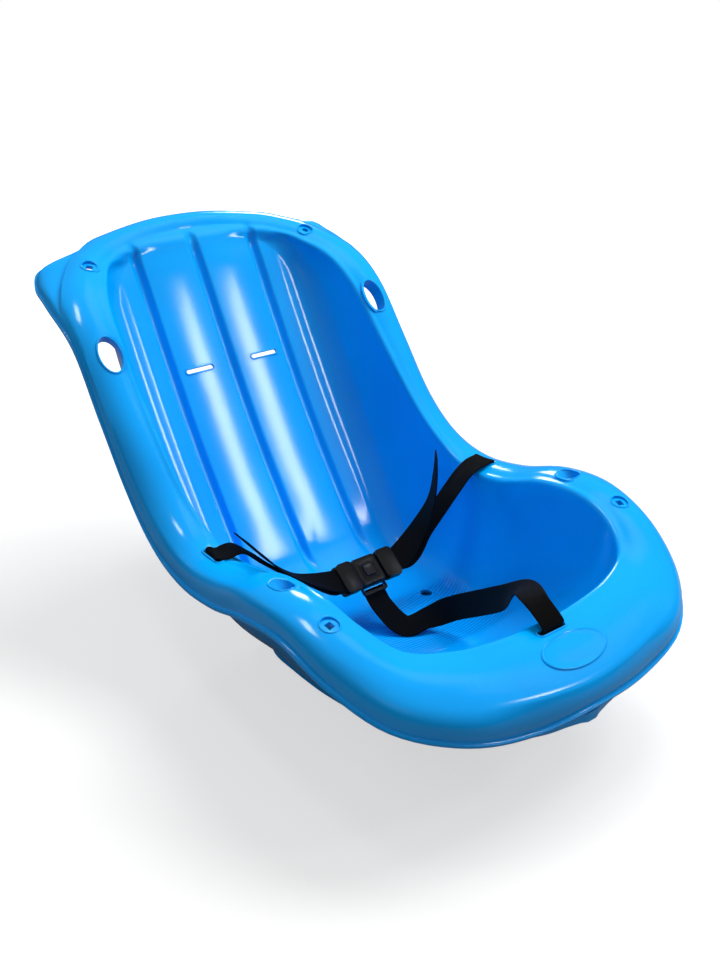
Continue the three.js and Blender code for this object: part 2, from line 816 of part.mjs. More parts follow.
// The hollow inside the base at the same place, open at the top
function hollowSection(row, along) {
  const wide = row.wide * rimHalfWidth - baseWall;
  const low = row.up * rimHeight + row.ridge * runnerRidge + baseWall;
  const top = row.top * rimHeight + cutOverrun;
  const corners = [[wide, low], [wide, top], [-wide, top], [-wide, low]];
  return corners.map(([x, z]) => new THREE.Vector3(x, along, z));
}

function hullSolid(rows) {
  const first = rows[0].along * rimLength;
  const last = rows[rows.length - 1].along * rimLength;
  const outside = loftSolid(rows.map((row) => hullSection(row, row.along * rimLength)));
  const roomy = rows.filter((row) => row.wide * rimHalfWidth > runnerWidth);
  const start = Math.max(roomy[0].along * rimLength, first + baseWall);
  const hollow = loftSolid(roomy.map((row, i) => {
    const along = Math.min(i === 0 ? start : row.along * rimLength, last - baseWall);
    return hollowSection(row, along);
  }));
  return { outside, hollow };
}

function buildBase() {
  const hull = hullSolid(hullShares);
  const tail = hullSolid(tailShares);
  const base = hull.outside.add(tail.outside).subtract(hull.hollow).subtract(tail.hollow);
  return base.subtract(clearanceAbove(shellWall + gap));
}

// The bar in the sewn end of a strap, lying across under its slot
function anchorBar(frame, lengthAxis, drop) {
  const axis = lengthAxis.clone().normalize();
  const side = new THREE.Vector3().crossVectors(axis, frame.up).normalize();
  const depth = shellWall + gap + drop + anchorBarDiameter * half;
  const matrix = new THREE.Matrix4().makeBasis(side, axis, new THREE.Vector3().crossVectors(side, axis));
  matrix.setPosition(frame.point.clone().addScaledVector(frame.up, -depth));
  return roundBar(anchorBarDiameter, anchorBarLength, matrix);
}

// A flat strap through points that each say in which direction the webbing's width lies
function strap(route, steps) {
  const line = new THREE.CatmullRomCurve3(route.map((stop) => stop.point), false, 'centripetal', half);
  const width = new THREE.CatmullRomCurve3(route.map((stop) => stop.wide), false, 'catmullrom', half);
  const rings = [];
  const corners = [[-1, -1], [1, -1], [1, 1], [-1, 1]];
  for (let i = 0; i <= steps; i += 1) {
    const t = i / steps;
    const point = line.getPoint(t);
    const along = line.getTangent(t);
    const thick = new THREE.Vector3().crossVectors(width.getPoint(t), along).normalize();
    const wide = new THREE.Vector3().crossVectors(along, thick).normalize();
    rings.push(corners.map(([w, h]) => {
      const corner = point.clone().addScaledVector(wide, w * webbingWidth * half);
      return corner.addScaledVector(thick, h * webbingThickness * half);
    }));
  }
  return loftSolid(rings, true);
}

function placedStops(rows) {
  return rows.map((row) => ({ point: place(row.at), wide: new THREE.Vector3(...row.wide).normalize() }));
}

// Buckle, in its own frame: x across the sled, y up the tilted face, z out of the face
buckle.position.copy(place(buckleShare));
buckle.rotation.x = buckleTilt;
buckle.updateMatrix();

function inBuckle(x, y, z) {
  return new THREE.Vector3(x, y, z).applyMatrix4(buckle.matrix);
}

const channelHalf = channelDepth;
const windowSize = buttonSize + 2 * buttonClearance;
const buttonBottom = -channelHalf + gap + buttonTravel;

function buildFrontCover() {
  const body = prism(roundedOutline(housingWidth, housingHeight, housingCorner), gap * half, coverDepth);
  const channel = box(housingWidth * 2, channelHeight, channelHalf * 2, new THREE.Vector3());
  const windowOutline = roundedOutline(windowSize, windowSize, buttonCorner + buttonClearance);
  const window = prism(windowOutline, 0, coverDepth * 2);
  return body.subtract(channel).subtract(window);
}

function buildBackCover() {
  const loopHeight = loopSlot + loopBar;
  const body = prism(roundedOutline(housingWidth, housingHeight, housingCorner), -backDepth, -gap * half);
  const loopCentre = -(housingHeight + loopHeight) * half + housingCorner * half;
  const loop = box(housingWidth, loopHeight + housingCorner, loopDepth, new THREE.Vector3(0, loopCentre, 0));
  const loopLow = toSolid(toGeometry(loop).translate(0, 0, -loopDepth * half - gap * half));
  const slotCentre = new THREE.Vector3(0, -housingHeight * half - loopSlot * half, 0);
  const slot = box(strapOpening, loopSlot, backDepth * 4, slotCentre);
  const channel = box(housingWidth * 2, channelHeight, channelHalf * 2, new THREE.Vector3());
  return body.add(loopLow).subtract(slot).subtract(channel);
}

function buildButton() {
  const top = coverDepth + buttonProud;
  const cap = prism(roundedOutline(buttonSize, buttonSize, buttonCorner), buttonBottom, top);
  const flangeSize = buttonSize + 2 * buttonFlange;
  const flangeTop = channelHalf - gap;
  const flange = prism(
    roundedOutline(flangeSize, flangeSize, buttonCorner + buttonFlange),
    flangeTop - buttonFlangeDepth,
    flangeTop,
  );
  const bore = roundedOutline(springBore, springBore, springBore * half);
  return cap.add(flange).subtract(prism(bore, 0, buttonBottom + springBoreDepth));
}

function buildSpring() {
  const stepsPerTurn = 8;
  const wireSides = 5;
  const low = -channelHalf + gap + springWire * half;
  const high = buttonBottom + springBoreDepth - gap - springWire * half;
  const radius = (springDiameter - springWire) * half;
  const rings = [];
  const count = springTurns * stepsPerTurn;
  for (let i = 0; i <= count; i += 1) {
    const angle = (i / stepsPerTurn) * Math.PI * 2;
    const height = low + ((high - low) * i) / count;
    const ring = [];
    for (let k = 0; k < wireSides; k += 1) {
      const turn = (k / wireSides) * Math.PI * 2;
      const out = radius + springWire * half * Math.cos(turn);
      const lift = height + springWire * half * Math.sin(turn);
      ring.push(new THREE.Vector3(out * Math.cos(angle), out * Math.sin(angle), lift));
    }
    rings.push(ring);
  }
  return loftSolid(rings);
}

const tongueStart = housingWidth * half + gap;
const tongueCentre = tongueStart + tongueLength * half;
const firstSlot = tongueStart + tongueBar + tongueSlot * half;
const secondSlot = firstSlot + tongueSlot + tongueBar;

function buildTongue() {
  const slotHeight = strapOpening;
  const outline = roundedOutline(tongueLength, tongueHeight, housingCorner);
  let tongue = prism(outline, -tongueDepth * half, tongueDepth * half);
  tongue = toSolid(toGeometry(tongue).translate(tongueCentre, 0, 0));
  for (const slotAt of [firstSlot, secondSlot]) {
    tongue = tongue.subtract(box(tongueSlot, slotHeight, tongueDepth * 2, new THREE.Vector3(slotAt, 0, 0)));
  }
  const prongFrom = tongueStart - prongLength;
  const prongCentre = channelHeight * half - gap - prongWidth * half;
  for (const side of sides) {
    const prong = new THREE.Shape();
    const inner = side * (prongCentre - prongWidth * half);
    const outer = side * (prongCentre + prongWidth * half);
    prong.moveTo(tongueStart + tongueBar * half, inner);
    prong.lineTo(tongueStart + tongueBar * half, outer);
    prong.lineTo(prongFrom + prongTip, outer);
    prong.lineTo(prongFrom, (inner + outer) * half);
    prong.lineTo(prongFrom, inner);
    tongue = tongue.add(prism(prong, -prongDepth * half, prongDepth * half));
  }
  return tongue;
}

const faceUp = inBuckle(0, 1, 0).sub(inBuckle(0, 0, 0));

// A stop of a strap given in the buckle's own frame
function buckleStop(x, y, z, wide) {
  return { point: inBuckle(x, y, z), wide };
}

// A strap starts just above its bar and leaves its slot squarely
function slotStops(slot, wide, drop) {
  const depths = [-shellWall - drop, 0, webbingThickness * 2];
  return depths.map((depth) => ({ point: slot.point.clone().addScaledVector(slot.up, depth), wide }));
}

// Each waist strap comes up through its slot, arches over the rim and goes down the tongue's outer slot
function buildWaistStrap(side, rows) {
  const slot = flangeFrame(beltSlotShare, side);
  const wide = slot.along.y < 0 ? slot.along.clone().negate() : slot.along;
  const lieHeight = tongueDepth * half + gap + webbingThickness * half;
  const outerEnd = tongueStart + tongueLength;
  return strap([
    ...slotStops(slot, wide, anchorBarDrop),
    ...placedStops(rows),
    buckleStop(side * (outerEnd + webbingWidth * half), 0, lieHeight + gap, faceUp),
    buckleStop(side * outerEnd, 0, lieHeight, faceUp),
    buckleStop(side * (secondSlot + tongueSlot * half), 0, lieHeight + gap, faceUp),
    buckleStop(side * (secondSlot - gap), 0, 0, faceUp),
  ], ribbonSteps);
}

// The loose end comes up out of the tongue's inner slot and runs back over the strap
function buildTail(side, rows) {
  const lieHeight = tongueDepth * half + gap * 2 + webbingThickness * 2;
  return strap([
    buckleStop(side * (firstSlot - gap), 0, 0, faceUp),
    buckleStop(side * (firstSlot + tongueSlot * half), 0, lieHeight - webbingThickness, faceUp),
    buckleStop(side * (secondSlot + tongueSlot * half), 0, lieHeight, faceUp),
    buckleStop(side * (tongueStart + tongueLength), 0, lieHeight + webbingThickness, faceUp),
    ...placedStops(rows),
  ], ribbonSteps);
}

// The crotch strap comes up through the front slot, lies down over the seat and threads the buckle's loop
function buildCrotchStrap() {
  const loopAt = -housingHeight * half - loopSlot * half;
  const under = -loopDepth - gap * 2 - webbingThickness * half;
  return strap([
    ...slotStops(frontSlotFrame, acrossX, crotchBarDrop),
    ...placedStops(crotchRouteShares),
    buckleStop(0, loopAt - loopSlot - loopBar - webbingWidth * half, under, acrossX),
    buckleStop(0, loopAt - loopSlot * half - loopBar, under, acrossX),
    buckleStop(0, loopAt - loopSlot * half, under, acrossX),
    buckleStop(0, loopAt - gap, under + webbingThickness, acrossX),
    buckleStop(0, loopAt, -loopDepth * half, acrossX),
  ], ribbonSteps * 2);
}

addPart(sled, 'seat_shell', buildShell(), shellBlue);
addPart(sled, 'runner_base', buildBase(), baseBlue);

for (const side of sides) {
  const sideName = side < 0 ? 'left' : 'right';
  const slot = flangeFrame(beltSlotShare, side);
  addPart(sled, `${sideName}_anchor_bar`, anchorBar(slot, slot.along, anchorBarDrop), buckleBlack);
  addPart(sled, `${sideName}_waist_strap`, buildWaistStrap(side, waistRouteShares[sideName]), webbingBlack);
  addPart(sled, `${sideName}_strap_tail`, buildTail(side, tailRouteShares[sideName]), webbingBlack);
  const tongue = buildTongue();
  addPart(buckle, `${sideName}_tongue`, side < 0 ? mirrored(tongue) : tongue, buckleBlack);
}
addPart(sled, 'crotch_anchor_bar', anchorBar(frontSlotFrame, acrossX, crotchBarDrop), buckleBlack);
addPart(sled, 'crotch_strap', buildCrotchStrap(), webbingBlack);

addPart(buckle, 'buckle_front_cover', buildFrontCover(), buckleBlack);
addPart(buckle, 'buckle_back_cover', buildBackCover(), buckleBlack);
addPart(buckle, 'release_button', buildButton(), buckleBlack);
addPart(buckle, 'button_spring', buildSpring(), springSteel);
sled.add(buckle);

// The origin is under the middle of the sled's box, on the ground
sled.updateMatrixWorld(true);
const sledBox = new THREE.Box3().setFromObject(sled, true);
const middle = sledBox.getCenter(new THREE.Vector3());
sled.position.set(-middle.x, -middle.y, -sledBox.min.z);
sled.updateMatrixWorld(true);

export default sled;
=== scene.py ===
# Baby pull sled: glossy moulded shell, runner base, webbing harness with a push-button buckle
import bmesh
import bpy
import math
import numpy as np
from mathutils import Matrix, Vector
from mathutils.bvhtree import BVHTree


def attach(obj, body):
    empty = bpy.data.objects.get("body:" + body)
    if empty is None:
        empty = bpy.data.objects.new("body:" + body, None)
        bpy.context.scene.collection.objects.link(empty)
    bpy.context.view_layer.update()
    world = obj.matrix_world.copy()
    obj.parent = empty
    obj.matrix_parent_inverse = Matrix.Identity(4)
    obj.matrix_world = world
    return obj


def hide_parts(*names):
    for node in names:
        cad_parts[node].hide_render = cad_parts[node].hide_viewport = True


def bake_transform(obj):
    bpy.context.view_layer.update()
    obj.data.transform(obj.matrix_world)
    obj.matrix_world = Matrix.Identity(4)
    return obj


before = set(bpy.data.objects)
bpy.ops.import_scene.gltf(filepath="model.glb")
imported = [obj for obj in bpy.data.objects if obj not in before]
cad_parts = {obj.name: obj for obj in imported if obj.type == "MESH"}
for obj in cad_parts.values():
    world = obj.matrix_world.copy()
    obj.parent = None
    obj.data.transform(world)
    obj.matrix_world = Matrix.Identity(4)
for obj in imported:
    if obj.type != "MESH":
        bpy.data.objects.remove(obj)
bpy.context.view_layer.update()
mm = 0.001
print("frame loaded:", len(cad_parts), "nodes")

# The camera stands where the photograph was taken from
view = {
    "position": (-0.5845, -0.76674, 0.6402),
    "forward": (0.552, 0.710, -0.437),
    "lens": 41.25,  # mm on a 36 mm sensor
}
cameraData = bpy.data.cameras.new("camera")
cameraData.lens = view["lens"]
cameraData.sensor_width = 36
cameraData.clip_start = 0.01
camera = bpy.data.objects.new("camera", cameraData)
camera.location = view["position"]
camera.rotation_euler = Vector(view["forward"]).to_track_quat("-Z", "Y").to_euler()
bpy.context.scene.collection.objects.link(camera)
bpy.context.scene.camera = camera


def arr(rows):
    return np.array(rows, dtype=float)


def lengthOf(v):
    return np.linalg.norm(v, axis=-1, keepdims=True)


def unit(v):
    return v / np.maximum(lengthOf(v), 1e-12)


def dot(a, b):
    return (a * b).sum(-1, keepdims=True)


def hermite(p1, p2, m1, m2, w):
    w2, w3 = w * w, w * w * w
    return p1 * (2 * w3 - 3 * w2 + 1) + m1 * (w3 - 2 * w2 + w) + p2 * (3 * w2 - 2 * w3) + m2 * (w3 - w2)


def curveAt(points, t, closed=False):  # a smooth curve through points, t from 0 to 1
    points, t = arr(points), np.atleast_1d(t).astype(float)
    if closed:
        place, more = (t % 1) * len(points), np.vstack([points[-1:], points, points[:2]])
    else:
        place = np.clip(t, 0, 1) * (len(points) - 1)
        more = np.vstack([2 * points[0] - points[1], points, 2 * points[-1] - points[-2]])
    i = np.minimum(np.floor(place).astype(int), len(more) - 4)
    p0, p1, p2, p3 = (more[i + k] for k in range(4))
    return hermite(p1, p2, (p2 - p0) / 2, (p3 - p1) / 2, (place - i)[:, None])


def bezier(controls, count):  # every row's points on its own curve, from start to end
    w = np.linspace(0, 1, count + 1)[None, :, None]
    c = [np.asarray(q)[:, None, :] for q in controls]
    if len(c) == 3:
        return c[0] * (1 - w) ** 2 + c[1] * 2 * w * (1 - w) + c[2] * w * w
    return c[0] * (1 - w) ** 3 + c[1] * 3 * w * (1 - w) ** 2 + c[2] * 3 * w * w * (1 - w) + c[3] * w ** 3


def smoothStep(low, high, x):
    k = np.clip((x - low) / (high - low), 0, 1)
    return k * k * (3 - 2 * k)


def addMesh(name, points, faces, smooth=True):  # points in metres
    mesh = bpy.data.meshes.new(name)
    mesh.from_pydata([tuple(p) for p in points], [], [tuple(int(v) for v in f) for f in faces])
    mesh.update()
    obj = bpy.data.objects.new(name, mesh)
    bpy.context.scene.collection.objects.link(obj)
    if smooth:
        mesh.shade_smooth()
    return obj


def fromRings(name, rings, closedLoop=False):  # quads between rings, and caps on an open run
    rings = arr(rings)
    last, count = len(rings) - 1, rings.shape[1]
    faces = []
    for r in range(last + closedLoop):
        a, b = r * count, (r + 1) % (last + 1) * count
        faces += [(a + k, a + (k + 1) % count, b + (k + 1) % count, b + k) for k in range(count)]
    if not closedLoop:
        faces += [range(count - 1, -1, -1), range(last * count, (last + 1) * count)]
    obj = addMesh(name, rings.reshape(-1, 3), faces)
    fixNormals(obj)
    return obj


def fixNormals(obj):
    bm = bmesh.new()
    bm.from_mesh(obj.data)
    bmesh.ops.recalc_face_normals(bm, faces=bm.faces)
    bm.to_mesh(obj.data)
    bm.free()


def settle(obj):  # applies the modifiers
    graph = bpy.context.evaluated_depsgraph_get()
    mesh = bpy.data.meshes.new_from_object(
        obj.evaluated_get(graph), preserve_all_data_layers=True, depsgraph=graph)
    obj.modifiers.clear()
    obj.data = mesh


def boolean(obj, tool, how):
    modifier = obj.modifiers.new(how, "BOOLEAN")
    modifier.operation = how
    modifier.object = tool
    modifier.solver = "MANIFOLD"
    settle(obj)
    bpy.data.objects.remove(tool)


def cut(obj, tool):
    boolean(obj, tool, "DIFFERENCE")


def joinAll(target, others):
    bm = bmesh.new()
    bm.from_mesh(target.data)
    for other in others:
        bm.from_mesh(other.data)
        bpy.data.objects.remove(other)
    bm.to_mesh(target.data)
    bm.free()


def sharpen(obj, degrees):
    obj.data.shade_smooth()
    obj.data.set_sharp_from_angle(angle=math.radians(degrees))


def bevel(obj, width, segments, degrees):
    modifier = obj.modifiers.new("edges", "BEVEL")
    modifier.width = width * mm
    modifier.segments = segments
    modifier.limit_method = "ANGLE"
    modifier.angle_limit = math.radians(degrees)
    modifier.harden_normals = True
    settle(obj)


def roundOutline(width, height, radius, steps):  # a rounded rectangle, anticlockwise
    radius = min(radius, width / 2 - 1e-6, height / 2 - 1e-6)
    points = []
    for corner, (sx, sy) in enumerate(((1, 1), (-1, 1), (-1, -1), (1, -1))):
        for k in range(steps + 1):
            a = math.pi / 2 * (corner + k / steps)
            points.append((sx * (width / 2 - radius) + radius * math.cos(a),
                           sy * (height / 2 - radius) + radius * math.sin(a)))
    points = arr(points)
    return points[np.linalg.norm(points - np.roll(points, 1, axis=0), axis=1) > 1e-3]


def ovalOutline(width, height, steps=56):
    a = np.linspace(0, 2 * math.pi, steps + 1)[:-1]
    return np.column_stack([np.cos(a) * width / 2, np.sin(a) * height / 2])


def inFrame(points, at):  # frame: point, across, along, up in mm
    points = arr(points)
    return at["point"] + points[:, :1] * at["across"] + points[:, 1:2] * at["along"] + points[:, 2:3] * at["up"]


def prism(name, outline, low, high, at, lean=(0, 0)):  # lean moves the outline sideways with its height
    rings = []
    for z in (low, high):
        ring = np.column_stack([outline + arr(lean) * z, np.full(len(outline), z)])
        rings.append(toScene(inFrame(ring, at)))
    return fromRings(name, rings)


def hexColour(text):  # sRGB hex to linear
    values = [int(text[i:i + 2], 16) / 255 for i in (1, 3, 5)]
    return tuple([v / 12.92 if v <= 0.04045 else ((v + 0.055) / 1.055) ** 2.4 for v in values] + [1.0])


def addNode(material, kind, settings=None, inputs=None):
    node = material.node_tree.nodes.new(kind)
    for key, value in (settings or {}).items():
        setattr(node, key, value)
    for key, value in (inputs or {}).items():
        if isinstance(value, bpy.types.NodeSocket):
            material.node_tree.links.new(value, node.inputs[key])
        else:
            node.inputs[key].default_value = value
    return node


def newMaterial(name):
    material = bpy.data.materials.new(name)
    material.use_nodes = True
    material.node_tree.nodes.clear()
    return material


def finishMaterial(material, shader):
    output = addNode(material, "ShaderNodeOutputMaterial")
    material.node_tree.links.new(shader.outputs[0], output.inputs["Surface"])
    return material


def setMaterial(obj, material):
    obj.data.materials.clear()
    obj.data.materials.append(material)
    for face in obj.data.polygons:
        face.material_index = 0


def setStops(ramp, settings):  # a ramp's dark and light end and where they stand on it
    for element, position, key in zip(ramp.color_ramp.elements, settings["stops"], ("dark", "light")):
        element.position = position
        element.color = hexColour(settings[key])


def dress(obj, node, material, body=None):  # what a piece is made of, stands for and moves with
    setMaterial(obj, material)
    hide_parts(node)
    if body:
        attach(obj, body)


def waveScale(spacing):  # a wave texture's scale for lines this far apart
    return math.pi / 10 / spacing


# Injection-moulded polypropylene: smooth, glossy and faintly waxy, with orange peel in the reflections.
# Each pattern has its size in mm, its detail and its roughness
polypropylene = {
    # the third colour here is painted shade, a darker blue drawn along the floor's anti-slip lines
    "dark": "#009cf0", "light": "#00a6fb", "stops": (0.35, 0.65), "paintedRidgeShade": "#0062c4", "ior": 1.49,
    "roughness": (0.1, 0.18),    # over the fine grain of the tool
    "depth": 0.02, "bump": 0.5,  # mm, and its strength
    "cloud": (500 / 3, 2.0, 0.5), "peel": (9.0, 1.0, 0.4), "grain": (0.6, 1.0, 0.5),
}
# Moulded acetal: black, dense and slightly satin, with spark-eroded grain that softens its reflections
blackAcetal = {
    "dark": "#050506", "light": "#0b0b0d", "stops": (0.3, 0.7), "ior": 1.48,
    "roughness": (0.36, 0.5), "depth": 0.02, "bump": 1.0,
    "cloud": (0.35, 2.0, 0.5), "peel": (0.35, 2.0, 0.5), "grain": (0.35, 2.0, 0.5),
}


def mouldedPlastic(name, settings, ridges=None):
    material = newMaterial(name)
    place = addNode(material, "ShaderNodeTexCoord").outputs["Object"]
    pattern = {}
    for key in ("cloud", "peel", "grain"):
        spacing, detail, rough = settings[key]
        noise = addNode(material, "ShaderNodeTexNoise", {}, {
            "Vector": place, "Scale": 1000 / spacing, "Detail": detail, "Roughness": rough})
        pattern[key] = noise.outputs["Fac"]
    ramp = addNode(material, "ShaderNodeValToRGB", {}, {"Fac": pattern["cloud"]})
    setStops(ramp, settings)
    tone = ramp.outputs["Color"]
    low, high = settings["roughness"]
    wear = addNode(material, "ShaderNodeMapRange", {}, {"Value": pattern["grain"], "To Min": low, "To Max": high})
    bump = addNode(material, "ShaderNodeBump", {}, {
        "Height": pattern["peel"], "Distance": settings["depth"] * mm, "Strength": settings["bump"]})
    if ridges:  # fine curved anti-slip lines, bumped and tinted a darker blue as painted shade, only where the floor's mark is set
        mark = addNode(material, "ShaderNodeAttribute", {"attribute_name": "antiSlip"})
        moved = addNode(material, "ShaderNodeMapping", {}, {
            "Vector": place, "Location": (-ridges["centre"][0] * mm, -ridges["centre"][1] * mm, 0)})
        wave = addNode(material, "ShaderNodeTexWave", {
            "wave_type": "RINGS", "rings_direction": "Z", "wave_profile": "SIN"}, {
            "Vector": moved.outputs["Vector"], "Scale": waveScale(ridges["spacing"] * mm)})
        height = addNode(material, "ShaderNodeMath", {"operation": "MULTIPLY"}, {
            0: wave.outputs["Fac"], 1: mark.outputs["Fac"]})
        bump = addNode(material, "ShaderNodeBump", {}, {
            "Height": height.outputs[0], "Normal": bump.outputs["Normal"], "Distance": ridges["depth"] * mm})
        # painted shade: the lines' colour is pulled towards the darker blue
        shade = addNode(material, "ShaderNodeMath", {"operation": "MULTIPLY"}, {
            0: height.outputs[0], 1: ridges["shade"]})
        tone = addNode(material, "ShaderNodeMix", {"data_type": "RGBA"}, {
            0: shade.outputs[0], 6: tone, 7: hexColour(settings["paintedRidgeShade"])}).outputs[2]
    shader = addNode(material, "ShaderNodeBsdfPrincipled", {}, {
        "Base Color": tone, "Roughness": wear.outputs["Result"], "IOR": settings["ior"],
        "Normal": bump.outputs["Normal"]})
    return finishMaterial(material, shader)


# Woven polyester webbing: matt black, ribs across the strap and a finer weave along its edges
def wovenPolyester(name, settings):
    material = newMaterial(name)
    uv = addNode(material, "ShaderNodeUVMap", {"uv_map": "strap"}).outputs["UV"]
    rows = addNode(material, "ShaderNodeTexWave", {"bands_direction": "Y", "wave_profile": "SIN"}, {
        "Vector": uv, "Scale": waveScale(settings["pick"]), "Distortion": 0.6, "Detail": 1.0})
    ends = addNode(material, "ShaderNodeTexWave", {"bands_direction": "X", "wave_profile": "SIN"}, {
        "Vector": uv, "Scale": waveScale(settings["end"])})
    weave = addNode(material, "ShaderNodeMath", {"operation": "MULTIPLY"}, {
        0: rows.outputs["Fac"], 1: ends.outputs["Fac"]})
    fuzz = addNode(material, "ShaderNodeTexNoise", {}, {
        "Vector": uv, "Scale": 1 / settings["fuzz"], "Detail": 3.0})
    # painted shade: the colour is darker where the weave is low, mixed with a random fuzz tone
    shade = addNode(material, "ShaderNodeMix", {"data_type": "FLOAT"}, {
        "Factor": settings["wornShare"], "A": weave.outputs[0], "B": fuzz.outputs["Fac"]})
    ramp = addNode(material, "ShaderNodeValToRGB", {}, {"Fac": shade.outputs["Result"]})
    setStops(ramp, settings)
    bump = addNode(material, "ShaderNodeBump", {}, {
        "Height": weave.outputs[0], "Distance": settings["depth"] * mm, "Strength": 0.9})
    shader = addNode(material, "ShaderNodeBsdfPrincipled", {}, {
        "Base Color": ramp.outputs["Color"], "Roughness": 0.85, "IOR": 1.5, "Normal": bump.outputs["Normal"],
        "Specular IOR Level": 0.2, "Sheen Weight": 0.03, "Sheen Roughness": 0.4,
        "Sheen Tint": hexColour("#8a8f99")})
    return finishMaterial(material, shader)


# Drawn spring wire: bright steel with fine lines along the draw
def drawnSteel(name, settings):
    material = newMaterial(name)
    place = addNode(material, "ShaderNodeTexCoord").outputs["Object"]
    lines = addNode(material, "ShaderNodeTexNoise", {}, {
        "Vector": place, "Scale": 1000 / settings["lineSize"], "Detail": 1.0})
    low, high = settings["roughness"]
    rough = addNode(material, "ShaderNodeMapRange", {}, {
        "Value": lines.outputs["Fac"], "To Min": low, "To Max": high})
    shader = addNode(material, "ShaderNodeBsdfPrincipled", {}, {
        "Base Color": hexColour(settings["steel"]), "Metallic": 1.0, "Roughness": rough.outputs["Result"]})
    return finishMaterial(material, shader)


# The real ridges are about 2 mm apart, and are drawn at 3.6 mm so that they show
antiSlip = {"centre": (22.0, 115.0), "spacing": 3.6, "depth": 0.35, "shade": 0.55}  # mm, and how strongly painted shade darkens the lines
shellPlastic = mouldedPlastic("mouldedPolypropyleneShell", polypropylene, antiSlip)
basePlastic = mouldedPlastic("mouldedPolypropyleneBase", {**polypropylene, "roughness": (0.25, 0.33)})
acetal = mouldedPlastic("mouldedAcetal", blackAcetal)
buttonAcetal = mouldedPlastic("mouldedAcetalButton", {
    **blackAcetal, "dark": "#101114", "light": "#191a1d", "roughness": (0.28, 0.42)})
webbing = wovenPolyester("wovenPolyesterWebbing", {  # mm between ribs, warp threads and spots of fuzz
    "pick": 1.1, "end": 1.6, "fuzz": 1 / 1.4, "depth": 0.25, "wornShare": 0.35,
    "dark": "#020203", "light": "#0b0b0d", "stops": (0.15, 0.75)})
springSteel = drawnSteel("drawnSpringSteel", {"steel": "#b4b6ba", "lineSize": 0.4, "roughness": (0.2, 0.34)})
print("materials made")

# The seat shell is one skin lofted round the rim, thickened and then cut
shell = {
    "size": (192, 637, 375),   # mm: half width, length and height at the rim's outer edge
    "shift": -320.34,          # mm along y, from the loft's origin to the frame's
    "wall": 3.0,
    "gap": 0.3,                # between the shell's underside and the base
    "edgeRadius": 7.0,
    "crown": 4.5,              # of the flange
    "bead": (3.0, 1.5),        # reach and drop
    # how much rounder the edge is where the front apron runs into the tub, and between which stations that ends
    "front": {"rounding": 9.0, "stations": (0.6, 3.2)},
    # the wall leans out where it is low, and along the backrest's top it turns into one soft curve
    "foot": (2.5, 0.12, 0.6),              # full height in edge radii, least lean, and the edge's share of the wall
    "soft": ((0.35, 1.6), 0.7, 1.5),       # heights where the soft curve fades, its hold on the foot and on the rim
    "lip": ((0.85, 0.85, 0.2), 0.5),       # how far it holds on outward, and how straight it drops
    # the ears lie a step below the flange, between these stations
    "ear": {"step": 5.0, "ledge": 2.0, "middle": 0.5, "end": 0.8, "stations": (12.5, 13.1, 15.9, 16.6)},
    "steps": {"wall": 22, "edge": 8, "flange": 12, "lip": 12, "bead": 4, "ear": 4, "side": 14, "panel": 17},
    "stations": {"coarse": 1 / 6, "fine": 1 / 28, "fineFrom": 14, "end": 18},  # rows of the skin, per rim station
    "antiSlip": {"height": 60, "slope": (0.75, 0.93), "from": (192, 198), "to": (294, 297)},
}
grooves = {
    "width": 15.0, "floor": 2.0, "depth": 6.2, "spacing": 72.0,
    "start": (380.0, 402.0),         # mm along y, where the channels begin
    "tops": (361.0, 362.5),          # mm up, the outer ones' and the middle one's ends
    "runOut": (0.45, -16, 2),        # shallower by this share, from and to this far from the top
    "sink": (0, -0.861, 0.508),      # near the rim they go straight into the backrest, so their ends don't fold
    "sinkFrom": (322, 342),
    "cover": 8.0,                    # beside the outer ones
    "panel": {"crown": 1.8, "edge": 6, "lean": 0.14, "leanFrom": 4, "leanWidth": 20, "leanEnd": (98, 150),
              "low": (40, 90), "high": (325, 350)},
}
